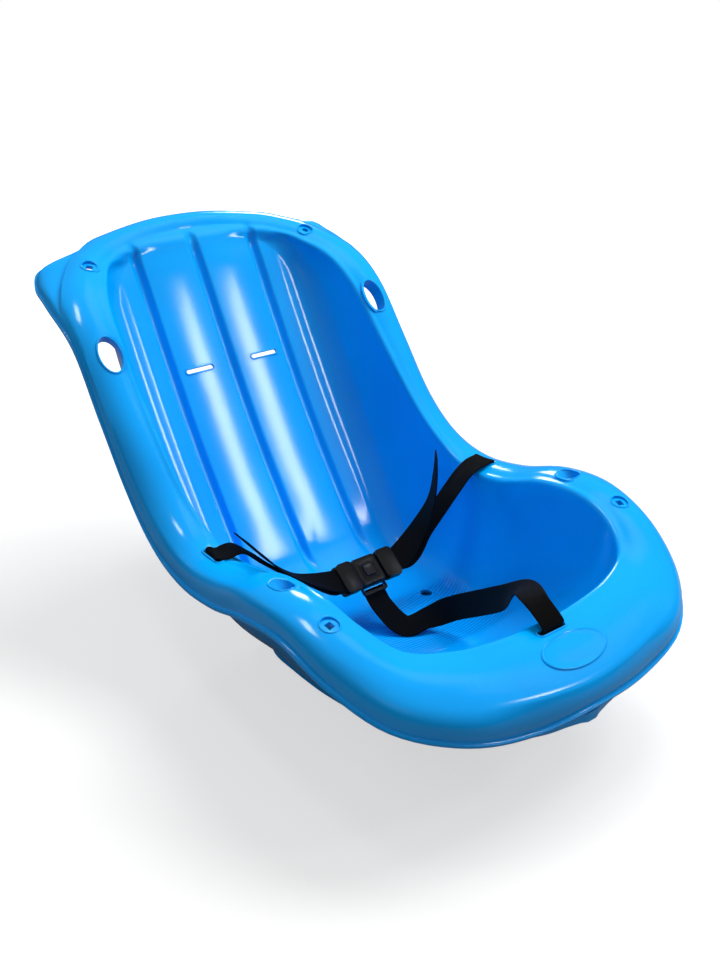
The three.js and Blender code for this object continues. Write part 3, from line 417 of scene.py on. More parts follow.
# outer rim, inner rim, lip and floor shares, and how square the wall meets the floor
stationRows = [
    ((0, 0, 0.325), (0, 0.107, 0.387), (0, -0.005, 0.271), (0, 0), 0.3),
    ((0.323, 0.009, 0.333), (0.234, 0.11, 0.389), (0.338, 0.005, 0.265), (0.16, 0.004), 0.32),
    ((0.599, 0.036, 0.352), (0.458, 0.118, 0.395), (0.64, 0.026, 0.29), (0.3, 0.017), 0.38),
    ((0.807, 0.086, 0.381), (0.646, 0.141, 0.408), (0.87, 0.083, 0.322), (0.4, 0.042), 0.48),
    ((0.938, 0.157, 0.43), (0.74, 0.188, 0.446), (0.986, 0.162, 0.378), (0.455, 0.075), 0.58),
    ((0.99, 0.243, 0.465), (0.766, 0.251, 0.47), (1.018, 0.244, 0.421), (0.475, 0.113), 0.62),
    ((1, 0.33, 0.455), (0.76, 0.33, 0.455), (1.029, 0.325, 0.409), (0.485, 0.146), 0.64),
    ((0.979, 0.416, 0.41), (0.74, 0.408, 0.41), (1.009, 0.41, 0.362), (0.487, 0.183), 0.64),
    ((0.969, 0.502, 0.389), (0.755, 0.487, 0.395), (0.992, 0.503, 0.342), (0.495, 0.25), 0.64),
    ((0.964, 0.581, 0.419), (0.766, 0.553, 0.435), (0.973, 0.594, 0.372), (0.515, 0.375), 0.62),
    ((0.958, 0.651, 0.507), (0.766, 0.62, 0.512), (0.966, 0.668, 0.478), (0.535, 0.533), 0.6),
    ((0.958, 0.722, 0.653), (0.76, 0.703, 0.651), (0.966, 0.735, 0.635), (0.542, 0.683), 0.58),
    ((0.953, 0.794, 0.803), (0.74, 0.779, 0.795), (0.964, 0.802, 0.788), (0.542, 0.817), 0.56),
    ((0.917, 0.863, 0.885), (0.698, 0.838, 0.877), (0.961, 0.89, 0.864), (0.531, 0.9), 0.55),
    ((0.771, 0.929, 0.939), (0.599, 0.895, 0.92), (0.938, 0.94, 0.893), (0.458, 0.958), 0.5),
    ((0.655, 0.959, 0.96), (0.513, 0.92, 0.935), (0.86, 0.962, 0.922), (0.395, 0.98), 0.5),
    ((0.521, 0.981, 0.976), (0.417, 0.937, 0.947), (0.6, 0.972, 0.928), (0.323, 0.992), 0.5),
    ((0.234, 0.997, 0.995), (0.198, 0.954, 0.957), (0.271, 1.004, 0.944), (0.167, 0.998), 0.5),
    ((0, 1, 1), (0, 0.958, 0.96), (0, 1.009, 0.947), (0, 1), 0.5),
]
floorRows = [(0.275, 0.104), (0.361, 0.085), (0.455, 0.085), (0.542, 0.085), (0.609, 0.117), (0.658, 0.197),
             (0.705, 0.299), (0.7504, 0.403), (0.7897, 0.501), (0.8311, 0.613), (0.8743, 0.736), (0.914, 0.853),
             (0.9418, 0.933)]
size = arr(shell["size"])
floorPoints = arr([(0, a, b) for a, b in floorRows]) * size
stationCount = 2 * (len(stationRows) - 1)


def toScene(points):  # loft millimetres to the frame's metres
    return (arr(points) + (0, shell["shift"], 0)) * mm


def loopRows(values):  # the right side's rows, then the same ones mirrored to the left
    values = arr(values)
    left = values[-2:0:-1].copy()
    left[:, 0] *= -1
    return np.vstack([values, left])


outerRows = loopRows([r[0] for r in stationRows]) * size
innerRows = loopRows([r[1] for r in stationRows]) * size
lipRows = loopRows([r[2] for r in stationRows]) * size
floorEdgeRows = loopRows([(r[3][0] * size[0], r[3][1], r[4]) for r in stationRows])


def rimAt(stations):
    t = np.atleast_1d(stations) / stationCount % 1
    outer, inner, lip = (curveAt(rows, t, True) for rows in (outerRows, innerRows, lipRows))
    along = unit(curveAt(outerRows, t + 1e-4, True) - curveAt(outerRows, t - 1e-4, True))
    across = outer - inner
    across = unit(across - along * dot(across, along))
    up = unit(np.cross(across, along))
    edge = curveAt(floorEdgeRows, t, True)
    share = np.clip(edge[:, 1], 0, 1)
    floor = curveAt(floorPoints, share)
    floor[:, 0] = edge[:, 0]
    ahead, behind = (curveAt(floorPoints, np.clip(share + step, 0, 1)) for step in (1e-4, -1e-4))
    tangent = unit(ahead - behind)
    floorUp = unit(np.cross([1.0, 0, 0], tangent))
    foot = inner - floorUp * dot(inner - floor, floorUp)
    return {"outer": outer, "inner": inner, "lip": lip, "along": along, "across": across, "up": up,
            "floor": floor, "foot": foot, "corner": edge[:, 2:3]}


def flangeFrame(station, share, side):  # a place on the flange, with its directions
    rim = {key: value[0] for key, value in rimAt(station * side).items()}
    start = rim["inner"] + rim["across"] * shell["edgeRadius"]
    point = start + (rim["outer"] - start) * share + rim["up"] * shell["crown"] * 4 * share * (1 - share)
    return {"point": point, "across": rim["across"], "along": rim["along"], "up": rim["up"]}


def floorFrame(share, sideways):
    point = curveAt(floorPoints, share)[0]
    tangent = unit(curveAt(floorPoints, share + 1e-4) - curveAt(floorPoints, share - 1e-4))[0]
    point[0] = sideways
    return {"point": point, "across": arr((1, 0, 0)), "along": tangent, "up": np.cross((1.0, 0, 0), tangent)}


def grooveDepth(points):  # the three shallow channels up the backrest, with rounded ends
    x, y, z = points.T
    wide = np.abs(x)
    depth = np.zeros(len(points))
    share, before, after = grooves["runOut"]
    for row in (-1, 0, 1):
        top = grooves["tops"][1 if row == 0 else 0] - grooves["width"] / 2
        off = np.hypot(x - row * grooves["spacing"], np.maximum(z - top, 0))
        shape = 1 - smoothStep(grooves["floor"] / 2, grooves["width"] / 2, off)
        runOut = 1 - share * smoothStep(top + before, top + after, z)
        depth = np.maximum(depth, shape * grooves["depth"] * runOut)
    # the panels between the channels are slightly crowned, and the outer ones lean in towards the side walls
    p, edge = grooves["panel"], grooves["spacing"]
    inside = 1 - smoothStep(edge, edge + p["edge"], wide)
    crown = np.abs(np.sin(x / edge * math.pi)) * p["crown"] * inside
    lean = np.clip(wide - edge - p["leanFrom"], 0, p["leanWidth"]) * p["lean"]
    crown += lean * (1 - smoothStep(*p["leanEnd"], wide))
    crown = crown * (1 - smoothStep(*p["high"], z)) * smoothStep(*p["low"], z)
    return (depth - crown) * smoothStep(*grooves["start"], y)


def skinRows(stations):  # for each station, points over the wall, edge, flange, lip and bead
    steps, ear = shell["steps"], shell["ear"]
    rim = rimAt(stations)
    outer, inner, floor, across, up = (rim[key] for key in ("outer", "inner", "floor", "across", "up"))
    place = np.minimum(stations, stationCount - stations)[:, None]
    rounding = 1 - smoothStep(*shell["front"]["stations"], place)
    radius = shell["edgeRadius"] + shell["front"]["rounding"] * rounding
    fullHeight, leastLean, edgeShare = shell["foot"]
    standing = lengthOf(rim["foot"] - inner) / (shell["edgeRadius"] * fullHeight)
    foot = rim["foot"] + (floor - rim["foot"]) * np.maximum(leastLean, 1 - standing)
    wallTop = inner + unit(foot - inner) * np.minimum(radius, lengthOf(foot - inner) * edgeShare)
    flangeStart = inner + across * radius
    wall = bezier([floor, floor + (foot - floor) * rim["corner"],
                   wallTop + (foot - wallTop) * rim["corner"], wallTop], steps["wall"])
    edge = bezier([wallTop, inner, flangeStart], steps["edge"])[:, 1:]
    heights, out, over = shell["soft"]
    soft = bezier([floor, floor + (rim["foot"] - floor) * out, flangeStart - across * radius * over, flangeStart],
                  steps["wall"] + steps["edge"])
    low = (1 - smoothStep(*heights, standing))[:, :, None]
    wall = wall * (1 - low) + soft[:, :steps["wall"] + 1] * low
    edge = edge * (1 - low) + soft[:, steps["wall"] + 1:] * low
    crownTop = (flangeStart + outer) / 2 + up * shell["crown"] * 2
    flange = bezier([flangeStart, crownTop, outer], steps["flange"])[:, 1:]
    fall = rim["lip"] - outer
    outward, straight = shell["lip"]
    lipEnd = rim["lip"] - up * dot(fall, up) * straight
    lip = bezier([outer, outer + fall * outward, lipEnd, rim["lip"]], steps["lip"])[:, 1:]
    ledge = outer + across * ear["ledge"]
    ledgeFoot = ledge - up * ear["step"]
    earEnd = rim["lip"] + up * dot(ledgeFoot - rim["lip"], up) * ear["end"]
    overEar = np.concatenate([
        bezier([outer, ledge, ledgeFoot], steps["ear"])[:, 1:],
        bezier([ledgeFoot, ledgeFoot + (earEnd - ledgeFoot) * ear["middle"], earEnd, rim["lip"]],
               steps["lip"] - steps["ear"])[:, 1:]], axis=1)
    begin, full, fade, end = ear["stations"]
    onEar = (smoothStep(begin, full, place) * (1 - smoothStep(fade, end, place)))[:, :, None]
    lip = lip * (1 - onEar) + overEar * onEar
    reach, drop = shell["bead"]
    beadEdge = rim["lip"] - up * drop
    bead = bezier([rim["lip"], beadEdge, beadEdge + across * reach], steps["bead"])[:, 1:]
    return np.concatenate([wall, edge, flange, lip, bead], axis=1)


def fillFloor(points, count, rowLength):  # joins the left and right rows across the floor, finely at the channels
    side, last = shell["steps"]["side"], count // 2
    half = arr((0, 1, 2, 2.8, 3.6, 4.4, 5.2, 6, 6.8, 7.6, 8.6))
    near = np.concatenate([-half[:0:-1], half])
    pitch = grooves["spacing"]
    edge = pitch + grooves["cover"] + 4
    knots = np.concatenate([half, np.linspace(half[-1], pitch - half[-1], shell["steps"]["panel"])[1:-1],
                            near + pitch, [edge]])
    columns = 2 * (len(knots) - 1 + side)
    rows, extra, total = [], [], len(points)
    for k in range(last + 1):
        left, right = ((count - k) % count) * rowLength, k * rowLength
        if k in (0, last):
            rows.append([left] * (columns + 1))
            continue
        wide = points[right, 0]
        outerX = max(wide, edge * 1.04)
        xs = np.concatenate([knots, np.linspace(edge, outerX, side + 1)[1:]]) * (wide / outerX)
        share = (np.concatenate([-xs[:0:-1], xs]) / wide / 2 + 0.5)[1:-1, None]
        extra.append(points[left] * (1 - share) + points[right] * share)
        rows.append([left] + list(range(total, total + columns - 1)) + [right])
        total += columns - 1
    faces = []
    for k in range(last):
        for c in range(columns):
            face = [rows[k][c], rows[k + 1][c], rows[k + 1][c + 1], rows[k][c + 1]]
            faces.append(tuple(v for v, following in zip(face, face[1:] + face[:1]) if v != following))
    return np.vstack([points] + extra), faces


def closedSkin(name, top, under, faces, rimEdge):  # a solid between two skins with the same faces
    count = len(top)
    solid = list(faces) + [tuple(count + v for v in reversed(face)) for face in faces]
    for a, b in zip(rimEdge, rimEdge[1:] + rimEdge[:1]):
        solid.append((a, b, count + b, count + a))
    obj = addMesh(name, toScene(np.vstack([top, under])), solid)
    fixNormals(obj)
    return obj


def buildShell():
    s, steps = shell["stations"], shell["steps"]
    right = np.concatenate([np.arange(0, s["fineFrom"], s["coarse"]), np.arange(s["fineFrom"], s["end"], s["fine"]),
                            [s["end"]]])
    sections = skinRows(np.concatenate([right, stationCount - right[-2:0:-1]]))
    count, rowLength = sections.shape[:2]
    faces = []
    for i in range(count):
        a, b = i * rowLength, ((i + 1) % count) * rowLength
        faces += [(a + j, b + j, b + j + 1, a + j + 1) for j in range(rowLength - 1)]
    points, floorFaces = fillFloor(sections.reshape(-1, 3), count, rowLength)
    faces += floorFaces
    inTub = np.ones(len(points), bool)
    inTub[:count * rowLength] = (np.arange(count * rowLength) % rowLength) <= steps["wall"] + steps["edge"]
    normals = skinNormals(points, faces)
    nearRim = smoothStep(*grooves["sinkFrom"], points[:, 2:]) * (
        np.abs(points[:, :1]) < grooves["spacing"] + grooves["cover"])
    sink = unit(normals * (1 - nearRim) + arr(grooves["sink"]) * nearRim)
    points = points - sink * (grooveDepth(points) * inTub)[:, None]
    normals = skinNormals(points, faces)
    rimEdge = [i * rowLength + rowLength - 1 for i in range(count)]
    obj = closedSkin("seatShell", points, points - normals * shell["wall"], faces, rimEdge)
    # what lies above the shell's underside, used to trim the base against it
    low = points - normals * (shell["wall"] + shell["gap"])
    space = closedSkin("aboveShell", low * (1, 1, 0) + (0, 0, 800), low, faces, rimEdge)
    # where the floor has its anti-slip lines, which the material bumps and darkens with painted shade
    a, y, z = shell["antiSlip"], points[:, 1], points[:, 2]
    flat = smoothStep(*a["slope"], normals[:, 2]) * (z < a["height"]) * inTub
    flat = flat * smoothStep(*a["from"], y) * (1 - smoothStep(*a["to"], y))
    mark = obj.data.attributes.new("antiSlip", "FLOAT", "POINT")
    mark.data.foreach_set("value", np.concatenate([flat, flat * 0]).astype(np.float32))
    return obj, space


def skinNormals(points, faces):
    tri = arr([(f[0], f[1], f[2]) for f in faces]).astype(int)
    quad = arr([(f[0], f[2], f[3]) for f in faces if len(f) == 4]).astype(int)
    tri = np.vstack([tri, quad])
    a, b, c = points[tri[:, 0]], points[tri[:, 1]], points[tri[:, 2]]
    n = np.cross(b - a, c - a)
    total = np.zeros_like(points)
    for k in range(3):
        np.add.at(total, tri[:, k], n)
    total = unit(total)
    middle = points[np.argmin(np.abs(points[:, 0]) + np.abs(points[:, 1] - 300) + np.abs(points[:, 2] - 32))]
    nearest = np.argmin(((points - middle) ** 2).sum(1))
    return total if total[nearest, 2] > 0 else -total


seatShell, aboveShell = buildShell()
print("shell skin:", len(seatShell.data.polygons), "faces")
skinTree = BVHTree.FromObject(seatShell, bpy.context.evaluated_depsgraph_get())


def onSkin(points, up):  # drops loft points onto the skin along a direction
    found = []
    for point in toScene(points):
        start = Vector(point) + Vector(up) * 0.02
        hit = skinTree.ray_cast(start, -Vector(up), 0.045)[0]  # metres
        found.append(np.array(hit) if hit is not None else point)
    return arr(found)


# Openings sit on the flange at a rim station or on the floor's line; the edge of each is rolled to a soft bead
cap = {"size": (16, 16), "recess": 2, "square": 6.4, "roll": 0.9, "collar": (2.5, 6)}
openings = {
    "handHold": {"station": 11.757, "share": 0.305, "size": (22.5, 38), "roll": 1.2, "collar": (3, 14),
                 "oval": True},
    "rope": {"station": 5.64, "share": 0.37, "size": (18, 24.2), "roll": 1.0, "collar": (3, 17), "slant": 42},
    "belt": {"station": 7.8, "share": 0.42, "size": (6, 30), "roll": 1.1},
    "crotch": {"station": 0, "share": 0.16, "size": (6, 30), "roll": 1.1, "single": True},
    "back": {"line": 0.757, "sideways": 40.5, "size": (33, 5), "roll": 1.1},
    "drain": {"line": 0.162, "sideways": 73.0, "size": (13, 13), "roll": 0.8},
    "frontCap": {"station": 4.4, "share": 0.48, **cap},
    "rearCap": {"station": 13.92, "share": 0.37, **cap},
}
through = 30  # mm above and below the skin


def rolledEdge(name, outline, at, radius):  # a soft bead that follows an opening's edge over the skin
    along2 = unit(np.roll(outline, -1, axis=0) - np.roll(outline, 1, axis=0))
    out2 = np.column_stack([along2[:, 1], -along2[:, 0]])
    flat = np.zeros((len(outline), 1))
    centre = onSkin(inFrame(np.hstack([outline + out2 * radius * 0.5, flat]), at), at["up"])
    sideways = inFrame(np.hstack([out2, flat]), at) - at["point"]
    tangent = unit(np.roll(centre, -1, axis=0) - np.roll(centre, 1, axis=0))
    upward = unit(np.cross(sideways, tangent))
    upward = upward * np.sign(dot(upward, at["up"]))
    sideways = unit(sideways - tangent * dot(sideways, tangent))
    rings = []
    for i in range(len(centre)):
        rings.append([centre[i] + (sideways[i] * math.cos(a) + upward[i] * (math.sin(a) - 0.15)) * radius * mm
                      for a in np.linspace(0, 2 * math.pi, 13)[:-1]])
    return fromRings(name, rings, closedLoop=True)


def openingOutline(opening, grow=0):
    wide, long = (length + 2 * grow for length in opening["size"])
    if "oval" in opening:
        return ovalOutline(wide, long)
    return roundOutline(wide, long, min(wide, long) / 2, 12)


def openShell(obj, side, name, opening):
    if "station" in opening:
        at = flangeFrame(opening["station"], opening["share"], side)
    else:
        at = floorFrame(opening["line"], side * opening["sideways"])
    slant = math.tan(math.radians(opening.get("slant", 0)))
    lean = (0, math.copysign(slant, at["along"][1]))
    if "collar" in opening:
        wall, depth = opening["collar"]
        collar = prism("collar", openingOutline(opening, wall), -depth, -shell["wall"] / 2, at, lean)
        boolean(obj, collar, "UNION")
    outline = openingOutline(opening)
    cut(obj, prism("hole", outline, -opening.get("recess", through), through, at, lean))
    if "square" in opening:
        square = roundOutline(opening["square"], opening["square"], 0.6, 3)
        cut(obj, prism("square", square, -through, through, at))
    return rolledEdge(name + "Roll", outline, at, opening["roll"])


rolls = [openShell(seatShell, side, name, opening) for side in (-1, 1) for name, opening in openings.items()
         if side > 0 or "single" not in opening]
joinAll(seatShell, rolls)
sharpen(seatShell, 35)
dress(seatShell, "seat_shell", shellPlastic, "sled")
print("shell cut:", len(seatShell.data.polygons), "faces")

# A bare oval plate on the front apron, a low crowned disc with a raised border
plate = {"centre": (0, 26.1, 135.5), "facing": (0, -0.323, 0.946), "width": 69.0, "height": 35.0, "rise": 1.3}


def buildPlate():
    aim, across = arr(plate["facing"]), arr((1, 0, 0))
    at = {"point": arr(plate["centre"]), "across": across, "along": unit(np.cross(aim, across)), "up": aim}
    profile = [(1.0, -0.8), (1.0, 0.5), (0.985, 0.9), (0.95, 1.1), (0.91, 1.0), (0.885, 0.6), (0.86, 0.45),
               (0.6, 0.62), (0.3, 0.72), (0.02, 0.75)]  # share of the size, and height as a share of the rise
    rings = []
    for scale, height in profile:
        ring = ovalOutline(plate["width"] * scale, plate["height"] * scale, 72)
        ring = inFrame(np.hstack([ring, np.zeros((len(ring), 1))]), at)
        rings.append(onSkin(ring, aim) + unit(aim) * height * plate["rise"] * mm)
    obj = fromRings("frontPlate", rings)
    sharpen(obj, 50)
    return obj


frontPlate = buildPlate()
setMaterial(frontPlate, shellPlastic)
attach(frontPlate, "sled")

# The runner base is a second moulding under the seat, hollow below and trimmed to the shell
base = {"wall": 3.0, "runner": 26.0, "ridge": 7.0, "taper": 3.0, "rounding": 3.5}
hullRows = [
    (0.03, 0.0016, 0.212, 0.235, 0), (0.064, 0.0047, 0.213, 0.238, 0), (0.135, 0.0105, 0.212, 0.245, 0),
    (0.237, 0.022, 0.204, 0.27, 0), (0.344, 0.06, 0.172, 0.42, 0.1), (0.417, 0.125, 0.125, 0.42, 0.5),
    (0.469, 0.204, 0.075, 0.42, 1), (0.479, 0.298, 0.032, 0.42, 1), (0.479, 0.377, 0.007, 0.42, 1),
    (0.479, 0.44, 0, 0.42, 1), (0.479, 0.494, 0, 0.42, 1), (0.479, 0.516, 0.012, 0.42, 0.8),
    (0.479, 0.526, 0.05, 0.42, 0.5)]
tailRows = [(0.417, 0.44, 0, 0.42, 1), (0.417, 0.552, 0, 0.42, 1), (0.417, 0.572, 0.012, 0.42, 0.8),
            (0.417, 0.581, 0.045, 0.42, 0.5)]


def hullRing(row, hollow=False):
    wide, along, low, top = row[:4] * size[[0, 1, 2, 2]]
    lift = row[4] * base["ridge"]
    if hollow:
        low += lift + base["wall"]
        wide = max(wide - base["wall"], 0.5)
        half = [(0, low), (wide - 3, low), (wide - 0.9, low + 0.9), (wide, low + 3), (wide, top + 60)]
    else:
        r = min(base["rounding"], wide / 4)
        inner = max(wide - base["runner"], wide / 2)
        taper = min(base["taper"], inner / 2)
        half = [(0, low + lift), (inner - taper - 1.5, low + lift), (inner - taper * 0.8, low + lift * 0.85),
                (inner - taper * 0.2, low + lift * 0.15), (inner + 1, low)]
        half += [(wide - r * a, low + r * b) for a, b in ((1, 0), (0.62, 0.08), (0.29, 0.29), (0.08, 0.62), (0, 1))]
        half.append((wide, top))
    return [(x, along, z) for x, z in half] + [(-x, along, z) for x, z in reversed(half[1:])]


def hullSolid(name, rows, hollow=False):
    rows = arr(rows)
    steps = np.linspace(0, 1, (len(rows) - 1) * 6 + 1)
    fine = curveAt(rows, steps)
    fine[:, 2] = np.maximum(fine[:, 2], 0)
    fine[:, 1] = np.maximum.accumulate(fine[:, 1] + np.arange(len(fine)) * 1e-6)
    if hollow:
        fine = fine[fine[:, 0] * size[0] > base["runner"]]
        fine[0, 1] = max(fine[0, 1], rows[0][1] + base["wall"] / size[1])
        fine[:, 1] = np.clip(fine[:, 1], fine[0, 1], rows[-1][1] - base["wall"] / size[1])
        keep = np.concatenate([[True], np.diff(fine[:, 1]) > 1e-6])
        fine = fine[keep]
    return fromRings(name, [toScene(hullRing(row, hollow)) for row in fine])


runnerBase = hullSolid("runnerBase", hullRows)
boolean(runnerBase, hullSolid("baseTail", tailRows), "UNION")
cut(runnerBase, hullSolid("hullHollow", hullRows, True))
cut(runnerBase, hullSolid("tailHollow", tailRows, True))
cut(runnerBase, aboveShell)
sharpen(runnerBase, 40)
dress(runnerBase, "runner_base", basePlastic, "sled")
print("base made:", len(runnerBase.data.polygons), "faces")

# The harness: straps follow the routes seen in the photograph, in shares of the shell
strapSize = {"width": 25.0, "thickness": 1.4}
buckle = {"share": (0, 0.463, 0.213), "tilt": 37.6}
tilt = math.radians(buckle["tilt"])
buckleFrame = {
    "point": arr(buckle["share"]) * size,
    "across": arr((1, 0, 0)),
    "along": arr((0, math.cos(tilt), math.sin(tilt))),
    "up": arr((0, -math.sin(tilt), math.cos(tilt))),
}


def ribbon(name, stops, steps):  # stops: loft point and direction of the width
    width, thickness = strapSize["width"], strapSize["thickness"]
    points = arr([s[0] for s in stops])
    wides = unit(arr([s[1] for s in stops]))
    more = np.vstack([2 * points[0] - points[1], points, 2 * points[-1] - points[-2]])
    gaps = np.sqrt(np.linalg.norm(np.diff(more, axis=0), axis=1))
    centre, wide = [], []
    for k in range(steps + 1):
        place = k / steps * (len(points) - 1)
        i = min(int(place), len(points) - 2)
        p0, p1, p2, p3 = more[i:i + 4]
        d0, d1, d2 = gaps[i:i + 3]
        m1 = ((p1 - p0) / d0 - (p2 - p0) / (d0 + d1) + (p2 - p1) / d1) * d1
        m2 = ((p2 - p1) / d1 - (p3 - p1) / (d1 + d2) + (p3 - p2) / d2) * d1
        centre.append(hermite(p1, p2, m1, m2, place - i))
        wide.append(curveAt(wides, k / steps)[0])
    centre = arr(centre)
    along = unit(np.gradient(centre, axis=0))
    thick = unit(np.cross(arr(wide), along))
    wide = unit(np.cross(along, thick))
    length = np.concatenate([[0], np.cumsum(np.linalg.norm(np.diff(centre, axis=0), axis=1))])
    # section: flat faces with round selvedges and a slightly hollow middle
    half = width / 2
    xs = np.linspace(0.7 - half, half - 0.7, 13)
    top = [(x, thickness / 2 * (1 - 0.12 * math.cos(x / half * math.pi / 2))) for x in xs]
    edge = [(half - 0.15, thickness * 0.28), (half, 0), (half - 0.15, -thickness * 0.28)]
    section = arr(top + edge + [(x, -z) for x, z in reversed(top)] + [(-x, -z) for x, z in edge])
    rings = [c + w * section[:, :1] + n * section[:, 1:] for c, w, n in zip(centre, wide, thick)]
    obj = fromRings(name, [toScene(ring) for ring in rings])
    # the weave follows the strap: millimetres across and along it
    layer = obj.data.uv_layers.new(name="strap")
    values = []
    for corner in obj.data.loops:
        ring, k = divmod(corner.vertex_index, len(section))
        values += [section[k, 0] + half, length[ring]]
    layer.data.foreach_set("uv", values)
    sharpen(obj, 60)
    return obj


def inBuckle(x, y, z):
    return inFrame([(x, y, z)], buckleFrame)[0]


routes = {
    "left": [((-0.826, 0.474, 0.41), (0, 1, 0)), ((-0.751, 0.471, 0.412), (0, 1, 0)),
             ((-0.667, 0.465, 0.377), (0, 1, 0.1)), ((-0.557, 0.457, 0.326), (0, 1, 0)),
             ((-0.443, 0.45, 0.282), (0, 1, 0))],
    "right": [((0.843, 0.477, 0.412), (0, 1, 0)), ((0.772, 0.476, 0.408), (0, 1, 0)),
              ((0.695, 0.474, 0.393), (0, 1, -0.1)), ((0.599, 0.471, 0.357), (0, 1, -0.1)),
              ((0.497, 0.471, 0.306), (0, 1, -0.1)), ((0.385, 0.469, 0.257), (0, 1, 0))],
}
tails = {
    "left": [((-0.43, 0.4505, 0.283), (0, 1, 0)), ((-0.552, 0.458, 0.331), (0, 1, 0)),
             ((-0.645, 0.463, 0.386), (0, 1, 0)), ((-0.735, 0.467, 0.442), (0.1, 1, -0.1))],
    "right": [((0.345, 0.466, 0.275), (0.1, 1, 0.1)), ((0.446, 0.468, 0.345), (0.45, 0.9, 0)),
              ((0.476, 0.469, 0.419), (0.55, 0.84, 0)), ((0.484, 0.471, 0.483), (0.62, 0.78, 0))],
}
crotchRoute = [((0, 0.097, 0.408), (1, 0, 0)), ((0.01, 0.118, 0.42), (1, 0, 0)),
               ((0.1, 0.16, 0.392), (1, 0.3, -0.1)), ((0.19, 0.223, 0.297), (0.5, 0.4, 0.9)),
               ((0.244, 0.292, 0.211), (0.2, 0.5, 1)), ((0.24, 0.345, 0.15), (0.1, 0.6, 1)),
               ((0.167, 0.372, 0.115), (0.3, 1, 0.35)), ((0.055, 0.386, 0.1), (1, 0.5, 0.4))]
tongue = {"start": 14.8, "length": 22.0, "height": 31.0, "depth": 5.2, "bar": 4.0, "slot": 3.8, "corner": 4.0,
          "cover": {"length": 19.0, "corner": 5.0, "rail": 2.2, "z": (6.3, 7.9)}}
first = tongue["start"] + tongue["bar"] + tongue["slot"] / 2  # its two slots
second = first + tongue["slot"] + tongue["bar"]
outerEnd = tongue["start"] + tongue["length"]
faceUp = buckleFrame["along"]
lie = tongue["depth"] / 2 + 0.3 + strapSize["thickness"] / 2  # a strap's middle on the tongue's face


def slotStops(name, side, drop):  # from the anchor bar below a slot to just above it
    slot = openings[name]
    at = flangeFrame(slot["station"], slot["share"], side)
    along = at["along"]
    wide = along if along[1] > 0.5 or abs(along[0]) > 0.5 else -along
    if "single" in slot:
        wide = arr((1, 0, 0))
    return [(at["point"] + at["up"] * d, wide) for d in (-shell["wall"] - drop, 0, 2.8)]


def placed(rows):
    return [(arr(p) * size, w) for p, w in rows]


def throughTongue(side, places):  # outward from the buckle's middle, and up from the tongue's
    return [(inBuckle(side * x, 0, z), faceUp) for x, z in places]


for side, name in ((-1, "left"), (1, "right")):
    stops = slotStops("belt", side, 0.35) + placed(routes[name]) + [
        (inBuckle(side * (outerEnd + 12.5), 0, lie + 0.3), faceUp if side > 0 else arr((0, 0.92, 0.39)))
    ] + throughTongue(side, [
        (outerEnd, lie), (second + 1.9, lie + 0.3), (second - 0.3, 0), (second - 1.6, -lie - 0.1),
        (first + 1.6, -lie - 0.1), (first + 0.3, -0.4)])
    strap = ribbon(name + "WaistStrap", stops, 150)
    dress(strap, name + "_waist_strap", webbing)
    body = name + "_tongue_body"
    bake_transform(strap)
    tail = ribbon(name + "StrapTail", throughTongue(side, [
        (first - 0.3, 0), (first + 1.9, lie + 1.7), (second + 1.9, lie + 1.7), (outerEnd, lie + 1.9),
    ]) + placed(tails[name]), 90)
    dress(tail, name + "_strap_tail", webbing, body)

# Under the buckle and up through its loop
loopStops = [(-35.3, -5.3), (-22.8, -5.3), (-19.2, -5.3), (-17.4, -3.9), (-17.1, -2)]
crotchStrap = ribbon("crotchStrap", slotStops("crotch", 1, 0.7) + placed(crotchRoute) + [
    (inBuckle(0, y, z), (1, 0, 0)) for y, z in loopStops], 220)
dress(crotchStrap, "crotch_strap", webbing, "sled")
print("straps made")

# The buckle: two covers, a dished release button and two sliding tongues
housing = {"width": 29.0, "height": 30.0, "corner": 4.0, "window": 12.6, "button": 12.0,
           "buttonTop": 7.4, "buttonLow": 0.6, "dish": 0.7}


def buckleSlab(name, profile, closedLoop=False):  # profile: width, height, corner radius, z and shift along y
    rings = []
    for width, height, corner, z, *shift in profile:
        outline = roundOutline(width, height, corner, 8)
        outline = outline + (0, shift[0] if shift else 0)
        rings.append(toScene(inFrame(np.column_stack([outline, np.full(len(outline), z)]), buckleFrame)))
    return fromRings(name, rings, closedLoop)


def buckleBlock(name, x, y, z):
    outline = arr([(x[0], y[0]), (x[1], y[0]), (x[1], y[1]), (x[0], y[1])])
    return prism(name, outline, z[0], z[1], buckleFrame)


def insetRows(width, height, rows):  # rows: how much smaller than the width and height, corner radius and z
    return [(width - inset, height - inset, corner, z) for inset, corner, z in rows]


w, h, r = housing["width"], housing["height"], housing["corner"]
hole = housing["window"]
frontCover = buckleSlab("buckleFrontCover", insetRows(w, h, [
    (0, r, 0.15), (0, r, 4.3), (0.3, r, 5.2), (1.1, r - 0.3, 5.9), (2.4, r - 0.8, 6.25), (6, 3.2, 6.4),
]) + insetRows(hole, hole, [
    (-4.4, 3.4, 6.45), (-3.8, 3.3, 6.2), (-3, 3.2, 6.2), (-2.4, 3.1, 6.5), (-1.2, 3, 6.5), (-0.3, 2.9, 6.2),
    (0, 2.8, 5.8), (0, 2.8, 0.15)]), closedLoop=True)
backCover = buckleSlab("buckleBackCover", insetRows(w, h, [
    (0, r, -0.15), (0, r, -2.8), (0.4, r, -3.6), (1.4, r - 0.3, -4.2), (3, r - 0.8, -4.4)]))
upper = [(w, 11.8, 3, -0.6, -16.9), (w - 0.6, 11.2, 3, -0.15, -16.9), (w - 2.0, 9.8, 2.2, -0.15, -16.9),
         (26.4, 4.8, 1.2, -0.15, -17.1), (25.8, 4.2, 1.0, -0.5, -17.1)]
lower = [(a, b, c, -4.3 - z, y) for a, b, c, z, y in reversed(upper)]  # mirrored in z
